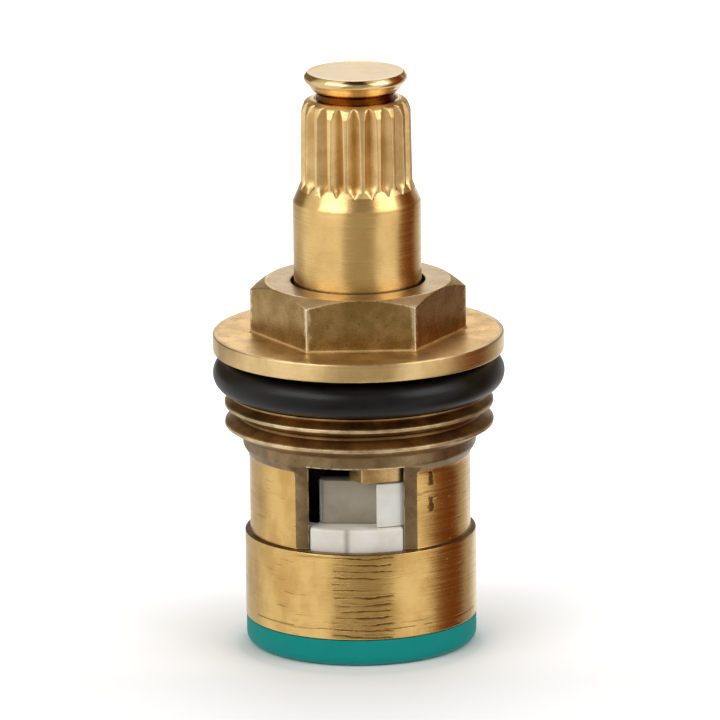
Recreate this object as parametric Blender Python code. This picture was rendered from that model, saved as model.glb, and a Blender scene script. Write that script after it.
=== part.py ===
"""Ceramic disc tap cartridge, quarter turn, with a splined spindle.

Metres, +Z up. The origin is the middle of the seal's bottom face, and +Z runs up the spindle's axis.
The two outlet windows face -Y and +Y. The valve is modelled open. It closes when the spindle turns
90 degrees clockwise, seen from above.
"""

import math

import bmesh
import bpy
from mathutils import Matrix, Vector

MM = 0.001

# Faces round a turned piece: a multiple of the six flats and the twenty spline teeth
SEGMENTS = 60
QUARTER_STEPS = 18
RIM_STEPS = 8
ROUND_STEPS = 4
LARGE_RING_STEPS = 12
SMALL_RING_STEPS = 8

# Clearances
SEAT_GAP = 0.05 * MM          # between two faces that rest on each other
RUNNING_GAP = 0.08 * MM       # spindle in the bonnet's bore
RING_GAP = 0.045 * MM         # rubber ring to its groove and bore
KEY_GAP = 0.07 * MM           # fixed disc's ears in their keyways
TONGUE_GAP = 0.08 * MM        # spindle's tongue in the moving disc's slot
STOP_GAP = math.radians(0.6)  # spindle's stop faces to the rib, at each end of the turn

# Inlet seal and its support ring
SEAL_FLANGE_HEIGHT = 2.0 * MM
SEAL_FLANGE_INSET = 0.03 * MM  # inside the bonnet's lower band
SEAL_EDGE_ROUND = 0.42 * MM
SEAL_NECK_HEIGHT = 4.95 * MM
SEAL_NECK_GAP = 0.10 * MM
SEAL_NECK_WALL = 1.07 * MM
SEAL_LIP_CHAMFER = 0.2 * MM
SUPPORT_WALL = 0.55 * MM
SUPPORT_BOTTOM = 0.5 * MM
SUPPORT_TOP_INSET = 0.65 * MM  # below the seal's top

# Ceramic discs
FIXED_DISC_THICKNESS = 3.25 * MM
MOVING_DISC_THICKNESS = 3.25 * MM
DISC_GAP = 0.32 * MM          # round the discs, in the cage
DISC_CHAMFER = 0.18 * MM
EAR_GAP = 0.092 * MM          # ears to the sides of the windows
EAR_MARK_OFFSET = -0.67 * MM
EAR_MARK_HALF_WIDTH = 0.22 * MM
EAR_MARK_DEPTH = 0.14 * MM
WING_EDGE = 1.5 * MM          # edge of a wing, off the axis
HUB_FLAT = 5.9 * MM           # flat on the hub, off the axis
HUB_CORNER = 2.8 * MM         # end of that flat
HUB_CORNER_ROUND = 0.6 * MM
HUB_WAIST = 2.1 * MM          # where the hub's side meets the wing's edge
PORT_LAND = 0.5 * MM          # sealing land beside a port
PORT_HUB_LAND = 0.15 * MM
PORT_RIM_LAND = 0.15 * MM     # inside the seal's bore
SLOT_DEPTH = 1.25 * MM

# Spindle, from its drive end up
TONGUE_HALF_WIDTH = 1.4 * MM
TONGUE_HALF_LENGTH = 5.2 * MM
TONGUE_ANGLE = math.radians(-35)
TONGUE_TIP_GAP = 0.1 * MM
LUG_HEIGHT = 2.5 * MM
LUG_INSET = 0.15 * MM         # inside the moving disc's rim
LUG_START = math.radians(-95.5)
LUG_END = math.radians(8)
LUG_CHAMFER_ANGLE = math.radians(9)
LUG_CHAMFER_DEPTH = 1.3 * MM
LUG_HUB_RADIUS = 2.6 * MM
LUG_HUB_RELIEF = 0.3 * MM     # keeps the hub off the moving disc
DRIVE_FLANGE_THICKNESS = 1.5 * MM
DRIVE_FLANGE_GAP = 0.22 * MM  # round the flange, in the cage
COLLAR_LENGTH = 6.05 * MM     # above the hexagon
UPPER_RING_DEPTH = 2.9 * MM   # below the hexagon's top
RING_SPACING = 3.2 * MM
RING_GROOVE_DEPTH = 1.38 * MM
RING_GROOVE_PLAY = 0.43 * MM  # along the shaft
CONE_LENGTH = 1.35 * MM
SPLINE_LENGTH = 5.05 * MM
SPLINE_STEP = 0.6 * MM        # less than the collar
SPLINE_TAPER = 0.08 * MM      # less at the top
SPLINE_DEPTH = 0.56 * MM
SPLINE_TEETH = 20
SPLINE_HALF_ANGLE = math.radians(46)
SPLINE_RUN_OUT = 0.7 * MM     # height over which a groove rises out of the cone
SPLINE_RUN_OUT_DEPTH = 0.77 * MM
SPLINE_TIP_DROP = 0.45 * MM   # lower end of a groove, below the cone's top
SHOULDER_HEIGHT = 1.3 * MM
SHOULDER_ROUND = 0.76 * MM
NECK_STEP = 1.15 * MM         # less than the spline
NECK_LENGTH = 0.4 * MM
BUTTON_LIP = 0.92 * MM        # more than the neck
BUTTON_CONE_HEIGHT = 0.95 * MM
BUTTON_RIM_HEIGHT = 0.65 * MM
BUTTON_RIM_WRAP = math.radians(60)  # how far the rim's round turns under

# Friction washer
WASHER_THICKNESS = 0.5 * MM
WASHER_WIDTH = 1.56 * MM
WASHER_GAP = 0.15 * MM        # to the shaft and to the stop rib

# Bonnet: bores. Its walls follow from the shaft outwards, up to the 20 mm of its mounting thread
BORE_RADIUS = 4.82 * MM
BORE_MOUTH_CHAMFER = 0.2 * MM
BORE_MOUTH_DEPTH = 0.35 * MM
KEYWAY_DEPTH = 0.2 * MM

# Bonnet: outside, from the bottom up
BAND_WALL = 0.88 * MM
BAND_HEIGHT = 6.45 * MM
BAND_CHAMFER = 0.12 * MM
STEP_HEIGHT = 0.12 * MM
CAGE_WALL = 0.49 * MM
CAGE_HEIGHT = 5.85 * MM
RELIEF_STEP = 0.45 * MM
RELIEF_RAMP = 0.63 * MM
RELIEF_HEIGHT = 0.9 * MM
THREAD_ROOT_STEP = 0.42 * MM
THREAD_DEPTH = 0.92 * MM
THREAD_PITCH = 1.5 * MM
THREAD_CREST = 0.22 * MM      # width of a ridge's top
THREAD_FLANK = math.radians(30)
THREAD_RIDGES = 2             # level rings, as the photograph shows them
GROOVE_RIM = 0.15 * MM        # thickness of the ring groove's lower wall at its edge
GROOVE_RIM_INSET = 0.25 * MM  # inside the thread
FLANGE_LIP = 0.8 * MM         # outside the thread
FLANGE_THICKNESS = 1.38 * MM
FLANGE_BEVEL = 0.15 * MM
HEX_ACROSS_FLATS = 13.9 * MM
HEX_HEIGHT = 3.92 * MM
HEX_TOP_RADIUS = 6.9 * MM
HEX_CHAMFER_ANGLE = math.radians(30)
HEX_TURN = math.radians(4)    # the hexagon isn't in line with the windows
WINDOW_FLAT_DEPTH = 1.34 * MM  # milled off the cage
WINDOW_SILL = 1.7 * MM        # below the fixed disc's top
WINDOW_HEADROOM = 1.5 * MM    # above the moving disc's top

# Stops inside the bonnet
TURN = math.radians(90)
STOP_RIB_DEPTH = 1.12 * MM
STOP_RIB_START = math.radians(75)
STOP_RIB_ARC = math.radians(30)
STOP_RIB_CLEARANCE = 0.1 * MM

# Rubber ring under the flange
FLANGE_RING_SECTION = 2.595 * MM
FLANGE_RING_PLAY = 0.405 * MM  # along the groove
FLANGE_RING_PROUD = 0.04 * MM  # outside the flange

# Heights that follow from the stack of pieces
BODY_BOTTOM = SEAL_FLANGE_HEIGHT + SEAT_GAP
SEAL_TOP = SEAL_FLANGE_HEIGHT + SEAL_NECK_HEIGHT
FIXED_BOTTOM = SEAL_TOP + SEAT_GAP
FIXED_TOP = FIXED_BOTTOM + FIXED_DISC_THICKNESS
MOVING_BOTTOM = FIXED_TOP + SEAT_GAP
MOVING_TOP = MOVING_BOTTOM + MOVING_DISC_THICKNESS
LUG_BOTTOM = MOVING_TOP + SEAT_GAP
DRIVE_BOTTOM = LUG_BOTTOM + LUG_HEIGHT
DRIVE_TOP = DRIVE_BOTTOM + DRIVE_FLANGE_THICKNESS
WASHER_BOTTOM = DRIVE_TOP + SEAT_GAP
INNER_SHOULDER = WASHER_BOTTOM + WASHER_THICKNESS + SEAT_GAP

BAND_TOP = BODY_BOTTOM + BAND_HEIGHT
CAGE_BOTTOM = BAND_TOP + STEP_HEIGHT
CAGE_TOP = CAGE_BOTTOM + CAGE_HEIGHT
RELIEF_BOTTOM = CAGE_TOP + RELIEF_RAMP
THREAD_BOTTOM = RELIEF_BOTTOM + RELIEF_HEIGHT
THREAD_TOP = THREAD_BOTTOM + THREAD_RIDGES * THREAD_PITCH
GROOVE_BOTTOM = THREAD_TOP + GROOVE_RIM
FLANGE_BOTTOM = GROOVE_BOTTOM + FLANGE_RING_SECTION + FLANGE_RING_PLAY
FLANGE_TOP = FLANGE_BOTTOM + FLANGE_THICKNESS
HEX_TOP = FLANGE_TOP + HEX_HEIGHT

COLLAR_TOP = HEX_TOP + COLLAR_LENGTH
CONE_TOP = COLLAR_TOP + CONE_LENGTH
SPLINE_TOP = CONE_TOP + SPLINE_LENGTH
SHOULDER_TOP = SPLINE_TOP + SHOULDER_HEIGHT
BUTTON_BOTTOM = SHOULDER_TOP + NECK_LENGTH
BUTTON_RIM_BOTTOM = BUTTON_BOTTOM + BUTTON_CONE_HEIGHT
BUTTON_TOP = BUTTON_RIM_BOTTOM + BUTTON_RIM_HEIGHT
UPPER_RING_HEIGHT = HEX_TOP - UPPER_RING_DEPTH
LOWER_RING_HEIGHT = UPPER_RING_HEIGHT - RING_SPACING

# Radii that follow from a fit
SHAFT_RADIUS = BORE_RADIUS - RUNNING_GAP
BORE_MOUTH_RADIUS = BORE_RADIUS + BORE_MOUTH_CHAMFER
RING_GROOVE_RADIUS = SHAFT_RADIUS - RING_GROOVE_DEPTH
RING_INNER_RADIUS = RING_GROOVE_RADIUS + RING_GAP
RING_OUTER_RADIUS = BORE_RADIUS - RING_GAP
RING_GROOVE_WIDTH = RING_OUTER_RADIUS - RING_INNER_RADIUS + RING_GROOVE_PLAY
SPLINE_BOTTOM_RADIUS = SHAFT_RADIUS - SPLINE_STEP
SPLINE_TOP_RADIUS = SPLINE_BOTTOM_RADIUS - SPLINE_TAPER
SPLINE_ROOT_RADIUS = SPLINE_BOTTOM_RADIUS - SPLINE_DEPTH
NECK_RADIUS = SPLINE_TOP_RADIUS - NECK_STEP
BUTTON_RADIUS = NECK_RADIUS + BUTTON_LIP
WASHER_INNER_RADIUS = SHAFT_RADIUS + WASHER_GAP
WASHER_OUTER_RADIUS = WASHER_INNER_RADIUS + WASHER_WIDTH
STOP_RIB_RADIUS = WASHER_OUTER_RADIUS + WASHER_GAP
CAGE_BORE_RADIUS = STOP_RIB_RADIUS + STOP_RIB_DEPTH
CAGE_RADIUS = CAGE_BORE_RADIUS + CAGE_WALL
BAND_RADIUS = CAGE_BORE_RADIUS + BAND_WALL
RELIEF_RADIUS = CAGE_RADIUS + RELIEF_STEP
THREAD_ROOT_RADIUS = RELIEF_RADIUS + THREAD_ROOT_STEP
THREAD_RADIUS = THREAD_ROOT_RADIUS + THREAD_DEPTH
GROOVE_RIM_RADIUS = THREAD_RADIUS - GROOVE_RIM_INSET
FLANGE_RADIUS = THREAD_RADIUS + FLANGE_LIP
FLANGE_RING_OUTER_RADIUS = FLANGE_RADIUS + FLANGE_RING_PROUD
FLANGE_RING_INNER_RADIUS = FLANGE_RING_OUTER_RADIUS - FLANGE_RING_SECTION
GROOVE_RADIUS = FLANGE_RING_INNER_RADIUS - RING_GAP
WINDOW_FLAT = CAGE_RADIUS - WINDOW_FLAT_DEPTH
WINDOW_HALF_WIDTH = math.sqrt(CAGE_BORE_RADIUS**2 - WINDOW_FLAT**2)
DISC_RADIUS = CAGE_BORE_RADIUS - DISC_GAP
KEYWAY_RADIUS = CAGE_BORE_RADIUS + KEYWAY_DEPTH
EAR_RADIUS = KEYWAY_RADIUS - KEY_GAP
EAR_HALF_WIDTH = WINDOW_HALF_WIDTH - EAR_GAP
LUG_RADIUS = DISC_RADIUS - LUG_INSET
LUG_CHAMFER_RADIUS = LUG_RADIUS - LUG_CHAMFER_DEPTH
DRIVE_FLANGE_RADIUS = CAGE_BORE_RADIUS - DRIVE_FLANGE_GAP
SEAL_FLANGE_RADIUS = BAND_RADIUS - SEAL_FLANGE_INSET
SEAL_NECK_RADIUS = CAGE_BORE_RADIUS - SEAL_NECK_GAP
SEAL_BORE_RADIUS = SEAL_NECK_RADIUS - SEAL_NECK_WALL
PORT_RADIUS = SEAL_BORE_RADIUS - PORT_RIM_LAND

# Heights of the windows
WINDOW_BOTTOM = FIXED_TOP - WINDOW_SILL
WINDOW_TOP = MOVING_TOP + WINDOW_HEADROOM

FRONT = math.radians(-90)
UPWARD = math.radians(90)
OVERRUN = 1.0 * MM            # how far a cutter goes past the surface that it leaves
SHARP_EDGE = math.radians(28)


def clear_scene():
    for item in list(bpy.data.objects):
        bpy.data.objects.remove(item, do_unlink=True)


def finish(name, red, green, blue, metallic, roughness):
    """A material with one Principled shader."""
    surface = bpy.data.materials.new(name)
    surface.use_nodes = True
    shader = surface.node_tree.nodes["Principled BSDF"]
    shader.inputs["Base Color"].default_value = (red, green, blue, 1.0)
    shader.inputs["Metallic"].default_value = metallic
    shader.inputs["Roughness"].default_value = roughness
    return surface


def object_of(name, shape, surface=None):
    """An object from a bmesh, shaded smooth apart from its sharp edges."""
    bmesh.ops.recalc_face_normals(shape, faces=shape.faces)
    mesh = bpy.data.meshes.new(name)
    shape.to_mesh(mesh)
    shape.free()
    mesh.shade_smooth()
    mesh.set_sharp_from_angle(angle=SHARP_EDGE)
    if surface:
        mesh.materials.append(surface)
    item = bpy.data.objects.new(name, mesh)
    bpy.context.scene.collection.objects.link(item)
    return item


def arc(centre_x, centre_y, radius, start, end, steps):
    """Points on an arc, both ends included."""
    points = []
    for step in range(steps + 1):
        angle = start + (end - start) * step / steps
        points.append((centre_x + radius * math.cos(angle), centre_y + radius * math.sin(angle)))
    return points


def turned(name, profile, surface=None, closed=False):
    """A profile of (radius, height) points turned about Z: a solid from axis to axis, or a closed ring."""
    shape = bmesh.new()
    verts = [shape.verts.new((radius, 0, height)) for radius, height in profile]
    edges = [shape.edges.new(pair) for pair in zip(verts, verts[1:])]
    if closed:
        edges.append(shape.edges.new((verts[-1], verts[0])))
    bmesh.ops.spin(
        shape,
        geom=verts + edges,
        cent=(0, 0, 0),
        axis=(0, 0, 1),
        angle=math.tau,
        steps=SEGMENTS,
        use_merge=True,
    )
    bmesh.ops.remove_doubles(shape, verts=shape.verts, dist=MM / 10000)
    return object_of(name, shape, surface)


def extruded(name, outlines, bottom, top, surface=None):
    """One upright prism for each outline of (x, y) points."""
    shape = bmesh.new()
    for outline in outlines:
        base = shape.faces.new([shape.verts.new((x, y, bottom)) for x, y in outline])
        raised = bmesh.ops.extrude_face_region(shape, geom=[base])["geom"]
        lifted = [item for item in raised if isinstance(item, bmesh.types.BMVert)]
        bmesh.ops.translate(shape, verts=lifted, vec=(0, 0, top - bottom))
    return object_of(name, shape, surface)


def as_tool(item):
    """Marks an object as a cutter or an added shape, which is no piece of its own."""
    item.hide_render = True
    item.display_type = "WIRE"
    return item


def chamfer_rims(item, width):
    """Chamfers the edges round the two flat faces of an upright prism."""
    mesh = item.data
    weights = mesh.attributes.new("bevel_weight_edge", "FLOAT", "EDGE")
    for edge in mesh.edges:
        first, second = (mesh.vertices[index].co.z for index in edge.vertices)
        weights.data[edge.index].value = float(first == second)
    modifier = item.modifiers.new("rim_chamfer", "BEVEL")
    modifier.limit_method = "WEIGHT"
    modifier.segments = 1
    modifier.width = width


def combine(item, tool, operation):
    modifier = item.modifiers.new(tool.name, "BOOLEAN")
    modifier.object = tool
    modifier.operation = operation
    modifier.solver = "EXACT"


def opposite(outline):
    """The same outline, half a turn round the axis."""
    return [(-x, -y) for x, y in outline]


def sector(inner, outer, start, end):
    """The outline of a piece of a ring."""
    steps = max(1, round((end - start) / math.tau * SEGMENTS))
    return arc(0, 0, outer, start, end, steps) + arc(0, 0, inner, end, start, steps)


def rectangle(half_length, half_width, turn):
    """A rectangle about the axis, its length at an angle to +X."""
    corners = (
        (-half_length, -half_width),
        (half_length, -half_width),
        (half_length, half_width),
        (-half_length, half_width),
    )
    spin = Matrix.Rotation(turn, 2)
    return [tuple(spin @ Vector(corner)) for corner in corners]


def ring_outline(inner, outer, height, steps):
    """The round section of a rubber ring."""
    section = (outer - inner) / 2
    return arc(inner + section, height, section, 0, math.tau, steps)[:-1]


def ear(radius, half_width, inner):
    """Outline of the fixed disc's front ear, or of the keyway that it sits in."""
    reach = math.asin(half_width / radius)
    rim = arc(0, 0, radius, FRONT - reach, FRONT + reach, RIM_STEPS)
    return rim + [(half_width, -inner), (-half_width, -inner)]


def hexagon_tool():
    """The spanner hexagon: a hexagonal bar with its top corners turned off at 30 degrees."""
    corner_radius = HEX_ACROSS_FLATS / math.sqrt(3)
    first = FRONT + HEX_TURN + math.pi / 6
    outline = arc(0, 0, corner_radius, first, first + math.tau, 6)[:-1]
    bottom = FLANGE_TOP - FLANGE_THICKNESS / 2
    hexagon = as_tool(extruded("hexagon", [outline], bottom, HEX_TOP))
    reach = corner_radius + OVERRUN
    drop = (reach - HEX_TOP_RADIUS) * math.tan(HEX_CHAMFER_ANGLE)
    profile = [
        (0, HEX_TOP),
        (HEX_TOP_RADIUS, HEX_TOP),
        (reach, HEX_TOP - drop),
        (reach, bottom - OVERRUN),
        (0, bottom - OVERRUN),
    ]
    combine(hexagon, as_tool(turned("hexagon_chamfer", profile)), "INTERSECT")
    return hexagon


def thread_ridges():
    """The mounting thread's ridges with their 60 degree flanks, from the top down."""
    crest = THREAD_CREST / 2
    foot = crest + THREAD_DEPTH * math.tan(THREAD_FLANK)
    profile = []
    for ridge in range(THREAD_RIDGES):
        middle = THREAD_TOP - (ridge + 1 / 2) * THREAD_PITCH
        profile += [
            (THREAD_ROOT_RADIUS, middle + foot),
            (THREAD_RADIUS, middle + crest),
            (THREAD_RADIUS, middle - crest),
            (THREAD_ROOT_RADIUS, middle - foot),
        ]
    return profile


def bonnet_profile():
    """Outside of the bonnet under its hexagon, from the flange's top down."""
    ramp = arc(CAGE_RADIUS, RELIEF_BOTTOM, RELIEF_STEP, 0, FRONT, ROUND_STEPS)
    stretch = RELIEF_RAMP / RELIEF_STEP
    rounded = [(radius, RELIEF_BOTTOM + (height - RELIEF_BOTTOM) * stretch) for radius, height in ramp]
    return [
        (0, FLANGE_TOP),
        (FLANGE_RADIUS - FLANGE_BEVEL, FLANGE_TOP),
        (FLANGE_RADIUS, FLANGE_TOP - FLANGE_BEVEL),
        (FLANGE_RADIUS, FLANGE_BOTTOM + FLANGE_BEVEL),
        (FLANGE_RADIUS - FLANGE_BEVEL, FLANGE_BOTTOM),
        (GROOVE_RADIUS, FLANGE_BOTTOM),
        (GROOVE_RADIUS, GROOVE_BOTTOM),
        (GROOVE_RIM_RADIUS, GROOVE_BOTTOM),
        (GROOVE_RIM_RADIUS, THREAD_TOP),
        *thread_ridges(),
        (THREAD_ROOT_RADIUS, THREAD_BOTTOM),
        (RELIEF_RADIUS, THREAD_BOTTOM),
        *rounded,
        (CAGE_RADIUS, CAGE_BOTTOM),
        (BAND_RADIUS, BAND_TOP),
        (BAND_RADIUS, BODY_BOTTOM + BAND_CHAMFER),
        (BAND_RADIUS - BAND_CHAMFER, BODY_BOTTOM),
        (0, BODY_BOTTOM),
    ]


def bore_tool():
    """Inside of the bonnet: the spindle's bore above, the discs' cage below."""
    profile = [
        (0, HEX_TOP + OVERRUN),
        (BORE_MOUTH_RADIUS, HEX_TOP + OVERRUN),
        (BORE_MOUTH_RADIUS, HEX_TOP),
        (BORE_RADIUS, HEX_TOP - BORE_MOUTH_DEPTH),
        (BORE_RADIUS, INNER_SHOULDER),
        (CAGE_BORE_RADIUS, INNER_SHOULDER),
        (CAGE_BORE_RADIUS, BODY_BOTTOM - OVERRUN),
        (0, BODY_BOTTOM - OVERRUN),
    ]
    return as_tool(turned("bores", profile))


def window_tool():
    """Two milled flats, which break through the cage's wall and open the windows."""
    reach = CAGE_RADIUS + OVERRUN
    front = [(-reach, -reach), (reach, -reach), (reach, -WINDOW_FLAT), (-reach, -WINDOW_FLAT)]
    return as_tool(extruded("window_flats", [front, opposite(front)], WINDOW_BOTTOM, WINDOW_TOP))


def keyway_tool():
    """Two keyways up to the windows, for the ears of the fixed disc."""
    half_width = EAR_HALF_WIDTH + KEY_GAP
    front = ear(KEYWAY_RADIUS, half_width, WINDOW_FLAT - OVERRUN)
    top = (WINDOW_BOTTOM + WINDOW_TOP) / 2
    return as_tool(extruded("keyways", [front, opposite(front)], BODY_BOTTOM - OVERRUN, top))


def stop_rib_tool():
    """A rib under the inner shoulder, between the spindle's two stop faces."""
    overlap = (RELIEF_RADIUS - CAGE_BORE_RADIUS) / 2
    end = STOP_RIB_START + STOP_RIB_ARC
    outline = sector(STOP_RIB_RADIUS, CAGE_BORE_RADIUS + overlap, STOP_RIB_START, end)
    bottom = DRIVE_BOTTOM + STOP_RIB_CLEARANCE
    return as_tool(extruded("stop_rib", [outline], bottom, INNER_SHOULDER + overlap))


def valve_body(brass):
    body = turned("valve_body", bonnet_profile(), brass)
    combine(body, hexagon_tool(), "UNION")
    combine(body, bore_tool(), "DIFFERENCE")
    combine(body, stop_rib_tool(), "UNION")
    combine(body, keyway_tool(), "DIFFERENCE")
    combine(body, window_tool(), "DIFFERENCE")


def ring_groove(height):
    """A groove in the shaft, from its lower side up."""
    half = RING_GROOVE_WIDTH / 2
    return [
        (SHAFT_RADIUS, height - half),
        (RING_GROOVE_RADIUS, height - half),
        (RING_GROOVE_RADIUS, height + half),
        (SHAFT_RADIUS, height + half),
    ]


def spindle_profile():
    """The spindle as turned, before its teeth, lugs and stops, from the drive end up."""
    middle = SPLINE_TOP_RADIUS - SHOULDER_ROUND
    shoulder = arc(middle, SHOULDER_TOP - SHOULDER_ROUND, SHOULDER_ROUND, 0, UPWARD, ROUND_STEPS)
    rim_round = BUTTON_RIM_HEIGHT / 2
    middle = BUTTON_RADIUS - rim_round
    rim = arc(middle, BUTTON_TOP - rim_round, rim_round, -BUTTON_RIM_WRAP, UPWARD, ROUND_STEPS + 2)
    return [
        (0, LUG_BOTTOM + LUG_HUB_RELIEF),
        (LUG_HUB_RADIUS, LUG_BOTTOM + LUG_HUB_RELIEF),
        (LUG_HUB_RADIUS, DRIVE_BOTTOM),
        (DRIVE_FLANGE_RADIUS, DRIVE_BOTTOM),
        (DRIVE_FLANGE_RADIUS, DRIVE_TOP),
        (SHAFT_RADIUS, DRIVE_TOP),
        *ring_groove(LOWER_RING_HEIGHT),
        *ring_groove(UPPER_RING_HEIGHT),
        (SHAFT_RADIUS, COLLAR_TOP),
        (SPLINE_BOTTOM_RADIUS, CONE_TOP),
        *shoulder,
        (NECK_RADIUS, SHOULDER_TOP),
        (NECK_RADIUS, BUTTON_BOTTOM),
        *rim,
        (0, BUTTON_TOP),
    ]


def spline_tool():
    """Twenty V grooves. Each rises out of the metal at its lower end, where the cutter ran out."""
    deep = SPLINE_ROOT_RADIUS
    side = SPLINE_BOTTOM_RADIUS + RUNNING_GAP
    outside = SHAFT_RADIUS + RUNNING_GAP
    tip_height = CONE_TOP - SPLINE_TIP_DROP
    levels = (
        (BUTTON_BOTTOM + NECK_LENGTH / 2, deep),
        (tip_height + SPLINE_RUN_OUT, deep),
        (tip_height, deep + SPLINE_RUN_OUT_DEPTH),
    )
    shape = bmesh.new()
    for tooth in range(SPLINE_TEETH):
        turn = Matrix.Rotation(FRONT + math.tau * tooth / SPLINE_TEETH, 3, "Z")
        loops = []
        for height, apex in levels:
            flank = max(side - apex, RUNNING_GAP) * math.tan(SPLINE_HALF_ANGLE)
            edge = max(side, apex + RUNNING_GAP)
            section = ((apex, 0), (edge, flank), (outside, flank), (outside, -flank), (edge, -flank))
            loops.append([shape.verts.new(turn @ Vector((x, y, height))) for x, y in section])
        shape.faces.new(loops[0])
        shape.faces.new(loops[-1])
        for upper, lower in zip(loops, loops[1:]):
            for corner in range(len(upper)):
                after = (corner + 1) % len(upper)
                shape.faces.new((upper[corner], upper[after], lower[after], lower[corner]))
    return as_tool(object_of("spline_grooves", shape))


def lug_tool():
    """Two lugs that press on the wings of the moving disc."""
    outline = arc(0, 0, LUG_RADIUS, LUG_START + LUG_CHAMFER_ANGLE, LUG_END, QUARTER_STEPS)
    outline += arc(0, 0, LUG_HUB_RADIUS / 2, LUG_END, LUG_START, ROUND_STEPS)
    outline.append((LUG_CHAMFER_RADIUS * math.cos(LUG_START), LUG_CHAMFER_RADIUS * math.sin(LUG_START)))
    top = DRIVE_BOTTOM + DRIVE_FLANGE_THICKNESS / 2
    return as_tool(extruded("drive_lugs", [outline, opposite(outline)], LUG_BOTTOM, top))


def tongue_tool():
    """The tongue that turns the moving disc by its slot."""
    outline = rectangle(TONGUE_HALF_LENGTH, TONGUE_HALF_WIDTH, TONGUE_ANGLE)
    bottom = MOVING_TOP - SLOT_DEPTH + TONGUE_TIP_GAP
    return as_tool(extruded("tongue", [outline], bottom, LUG_BOTTOM + LUG_HEIGHT / 2))


def stop_notch_tool():
    """The notch in the drive flange that lets the spindle turn from stop to stop."""
    start = STOP_RIB_START - STOP_GAP
    end = STOP_RIB_START + STOP_RIB_ARC + TURN + STOP_GAP
    outline = sector(STOP_RIB_RADIUS - STOP_RIB_CLEARANCE, DRIVE_FLANGE_RADIUS + OVERRUN, start, end)
    bottom = DRIVE_BOTTOM - STOP_RIB_CLEARANCE / 2
    return as_tool(extruded("stop_notch", [outline], bottom, DRIVE_TOP + OVERRUN / 2))


def spindle(brass):
    stem = turned("spindle", spindle_profile(), brass)
    combine(stem, lug_tool(), "UNION")
    combine(stem, tongue_tool(), "UNION")
    combine(stem, stop_notch_tool(), "DIFFERENCE")
    combine(stem, spline_tool(), "DIFFERENCE")


def rubber_rings(rubber):
    middle = GROOVE_BOTTOM + RING_GAP + FLANGE_RING_SECTION / 2
    outline = ring_outline(FLANGE_RING_INNER_RADIUS, FLANGE_RING_OUTER_RADIUS, middle, LARGE_RING_STEPS)
    turned("flange_o_ring", outline, rubber, closed=True)
    outline = ring_outline(RING_INNER_RADIUS, RING_OUTER_RADIUS, UPPER_RING_HEIGHT, SMALL_RING_STEPS)
    turned("spindle_o_ring_upper", outline, rubber, closed=True)
    outline = ring_outline(RING_INNER_RADIUS, RING_OUTER_RADIUS, LOWER_RING_HEIGHT, SMALL_RING_STEPS)
    turned("spindle_o_ring_lower", outline, rubber, closed=True)


def friction_washer(plastic):
    bottom = WASHER_BOTTOM
    top = WASHER_BOTTOM + WASHER_THICKNESS
    profile = [
        (WASHER_INNER_RADIUS, bottom),
        (WASHER_OUTER_RADIUS, bottom),
        (WASHER_OUTER_RADIUS, top),
        (WASHER_INNER_RADIUS, top),
    ]
    turned("friction_washer", profile, plastic, closed=True)


def moving_disc(ceramic):
    """A bow tie: two wings that close the ports, and a hub with a flat in each window."""
    reach = math.asin(WING_EDGE / DISC_RADIUS)
    corner = (HUB_CORNER - HUB_CORNER_ROUND, HUB_FLAT - HUB_CORNER_ROUND)
    half = arc(0, 0, DISC_RADIUS, FRONT + reach, reach, QUARTER_STEPS)
    half.append((HUB_WAIST, WING_EDGE))
    half += arc(*corner, HUB_CORNER_ROUND, 0, UPWARD, ROUND_STEPS)
    half.append((-WING_EDGE, HUB_FLAT))
    disc = extruded("moving_disc", [half + opposite(half)], MOVING_BOTTOM, MOVING_TOP, ceramic)
    chamfer_rims(disc, DISC_CHAMFER)
    slot = rectangle(TONGUE_HALF_LENGTH + TONGUE_GAP, TONGUE_HALF_WIDTH + TONGUE_GAP, TONGUE_ANGLE)
    tool = extruded("tongue_slot", [slot], MOVING_TOP - SLOT_DEPTH, MOVING_TOP + OVERRUN)
    combine(disc, as_tool(tool), "DIFFERENCE")


def port_outline():
    """The back port: a land inside the wing that covers it, and as much as the open notch shows."""
    side = Vector((HUB_CORNER - HUB_WAIST, HUB_FLAT - WING_EDGE)).normalized()
    inner = Vector((HUB_WAIST + PORT_HUB_LAND, WING_EDGE)) + side * (PORT_LAND / side.y)
    along = inner.dot(side)
    length = -along + math.sqrt(along * along - inner.length_squared + PORT_RADIUS**2)
    outer = inner + side * length
    start = math.asin(inner.y / PORT_RADIUS)
    end = math.atan2(outer.y, outer.x)
    return [tuple(inner)] + arc(0, 0, PORT_RADIUS, start, end, RIM_STEPS)


def fixed_disc(ceramic):
    """A disc with two ports and two ears, which keep it from turning in the cage."""
    front_ear = ear(EAR_RADIUS, EAR_HALF_WIDTH, 0)[:-2]
    join = math.asin(EAR_HALF_WIDTH / DISC_RADIUS)
    half = front_ear + arc(0, 0, DISC_RADIUS, FRONT + join, UPWARD - join, QUARTER_STEPS)
    disc = extruded("fixed_disc", [half + opposite(half)], FIXED_BOTTOM, FIXED_TOP, ceramic)
    chamfer_rims(disc, DISC_CHAMFER)
    port = port_outline()
    ports = extruded("ports", [port, opposite(port)], FIXED_BOTTOM - OVERRUN, FIXED_TOP + OVERRUN)
    combine(disc, as_tool(ports), "DIFFERENCE")
    left = EAR_MARK_OFFSET - EAR_MARK_HALF_WIDTH
    right = EAR_MARK_OFFSET + EAR_MARK_HALF_WIDTH
    depth = EAR_RADIUS - EAR_MARK_DEPTH
    mark = [(left, -EAR_RADIUS), (right, -EAR_RADIUS), (EAR_MARK_OFFSET, -depth)]
    tool = extruded("ear_mark", [mark], FIXED_BOTTOM - OVERRUN, FIXED_TOP + OVERRUN)
    combine(disc, as_tool(tool), "DIFFERENCE")


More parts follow.
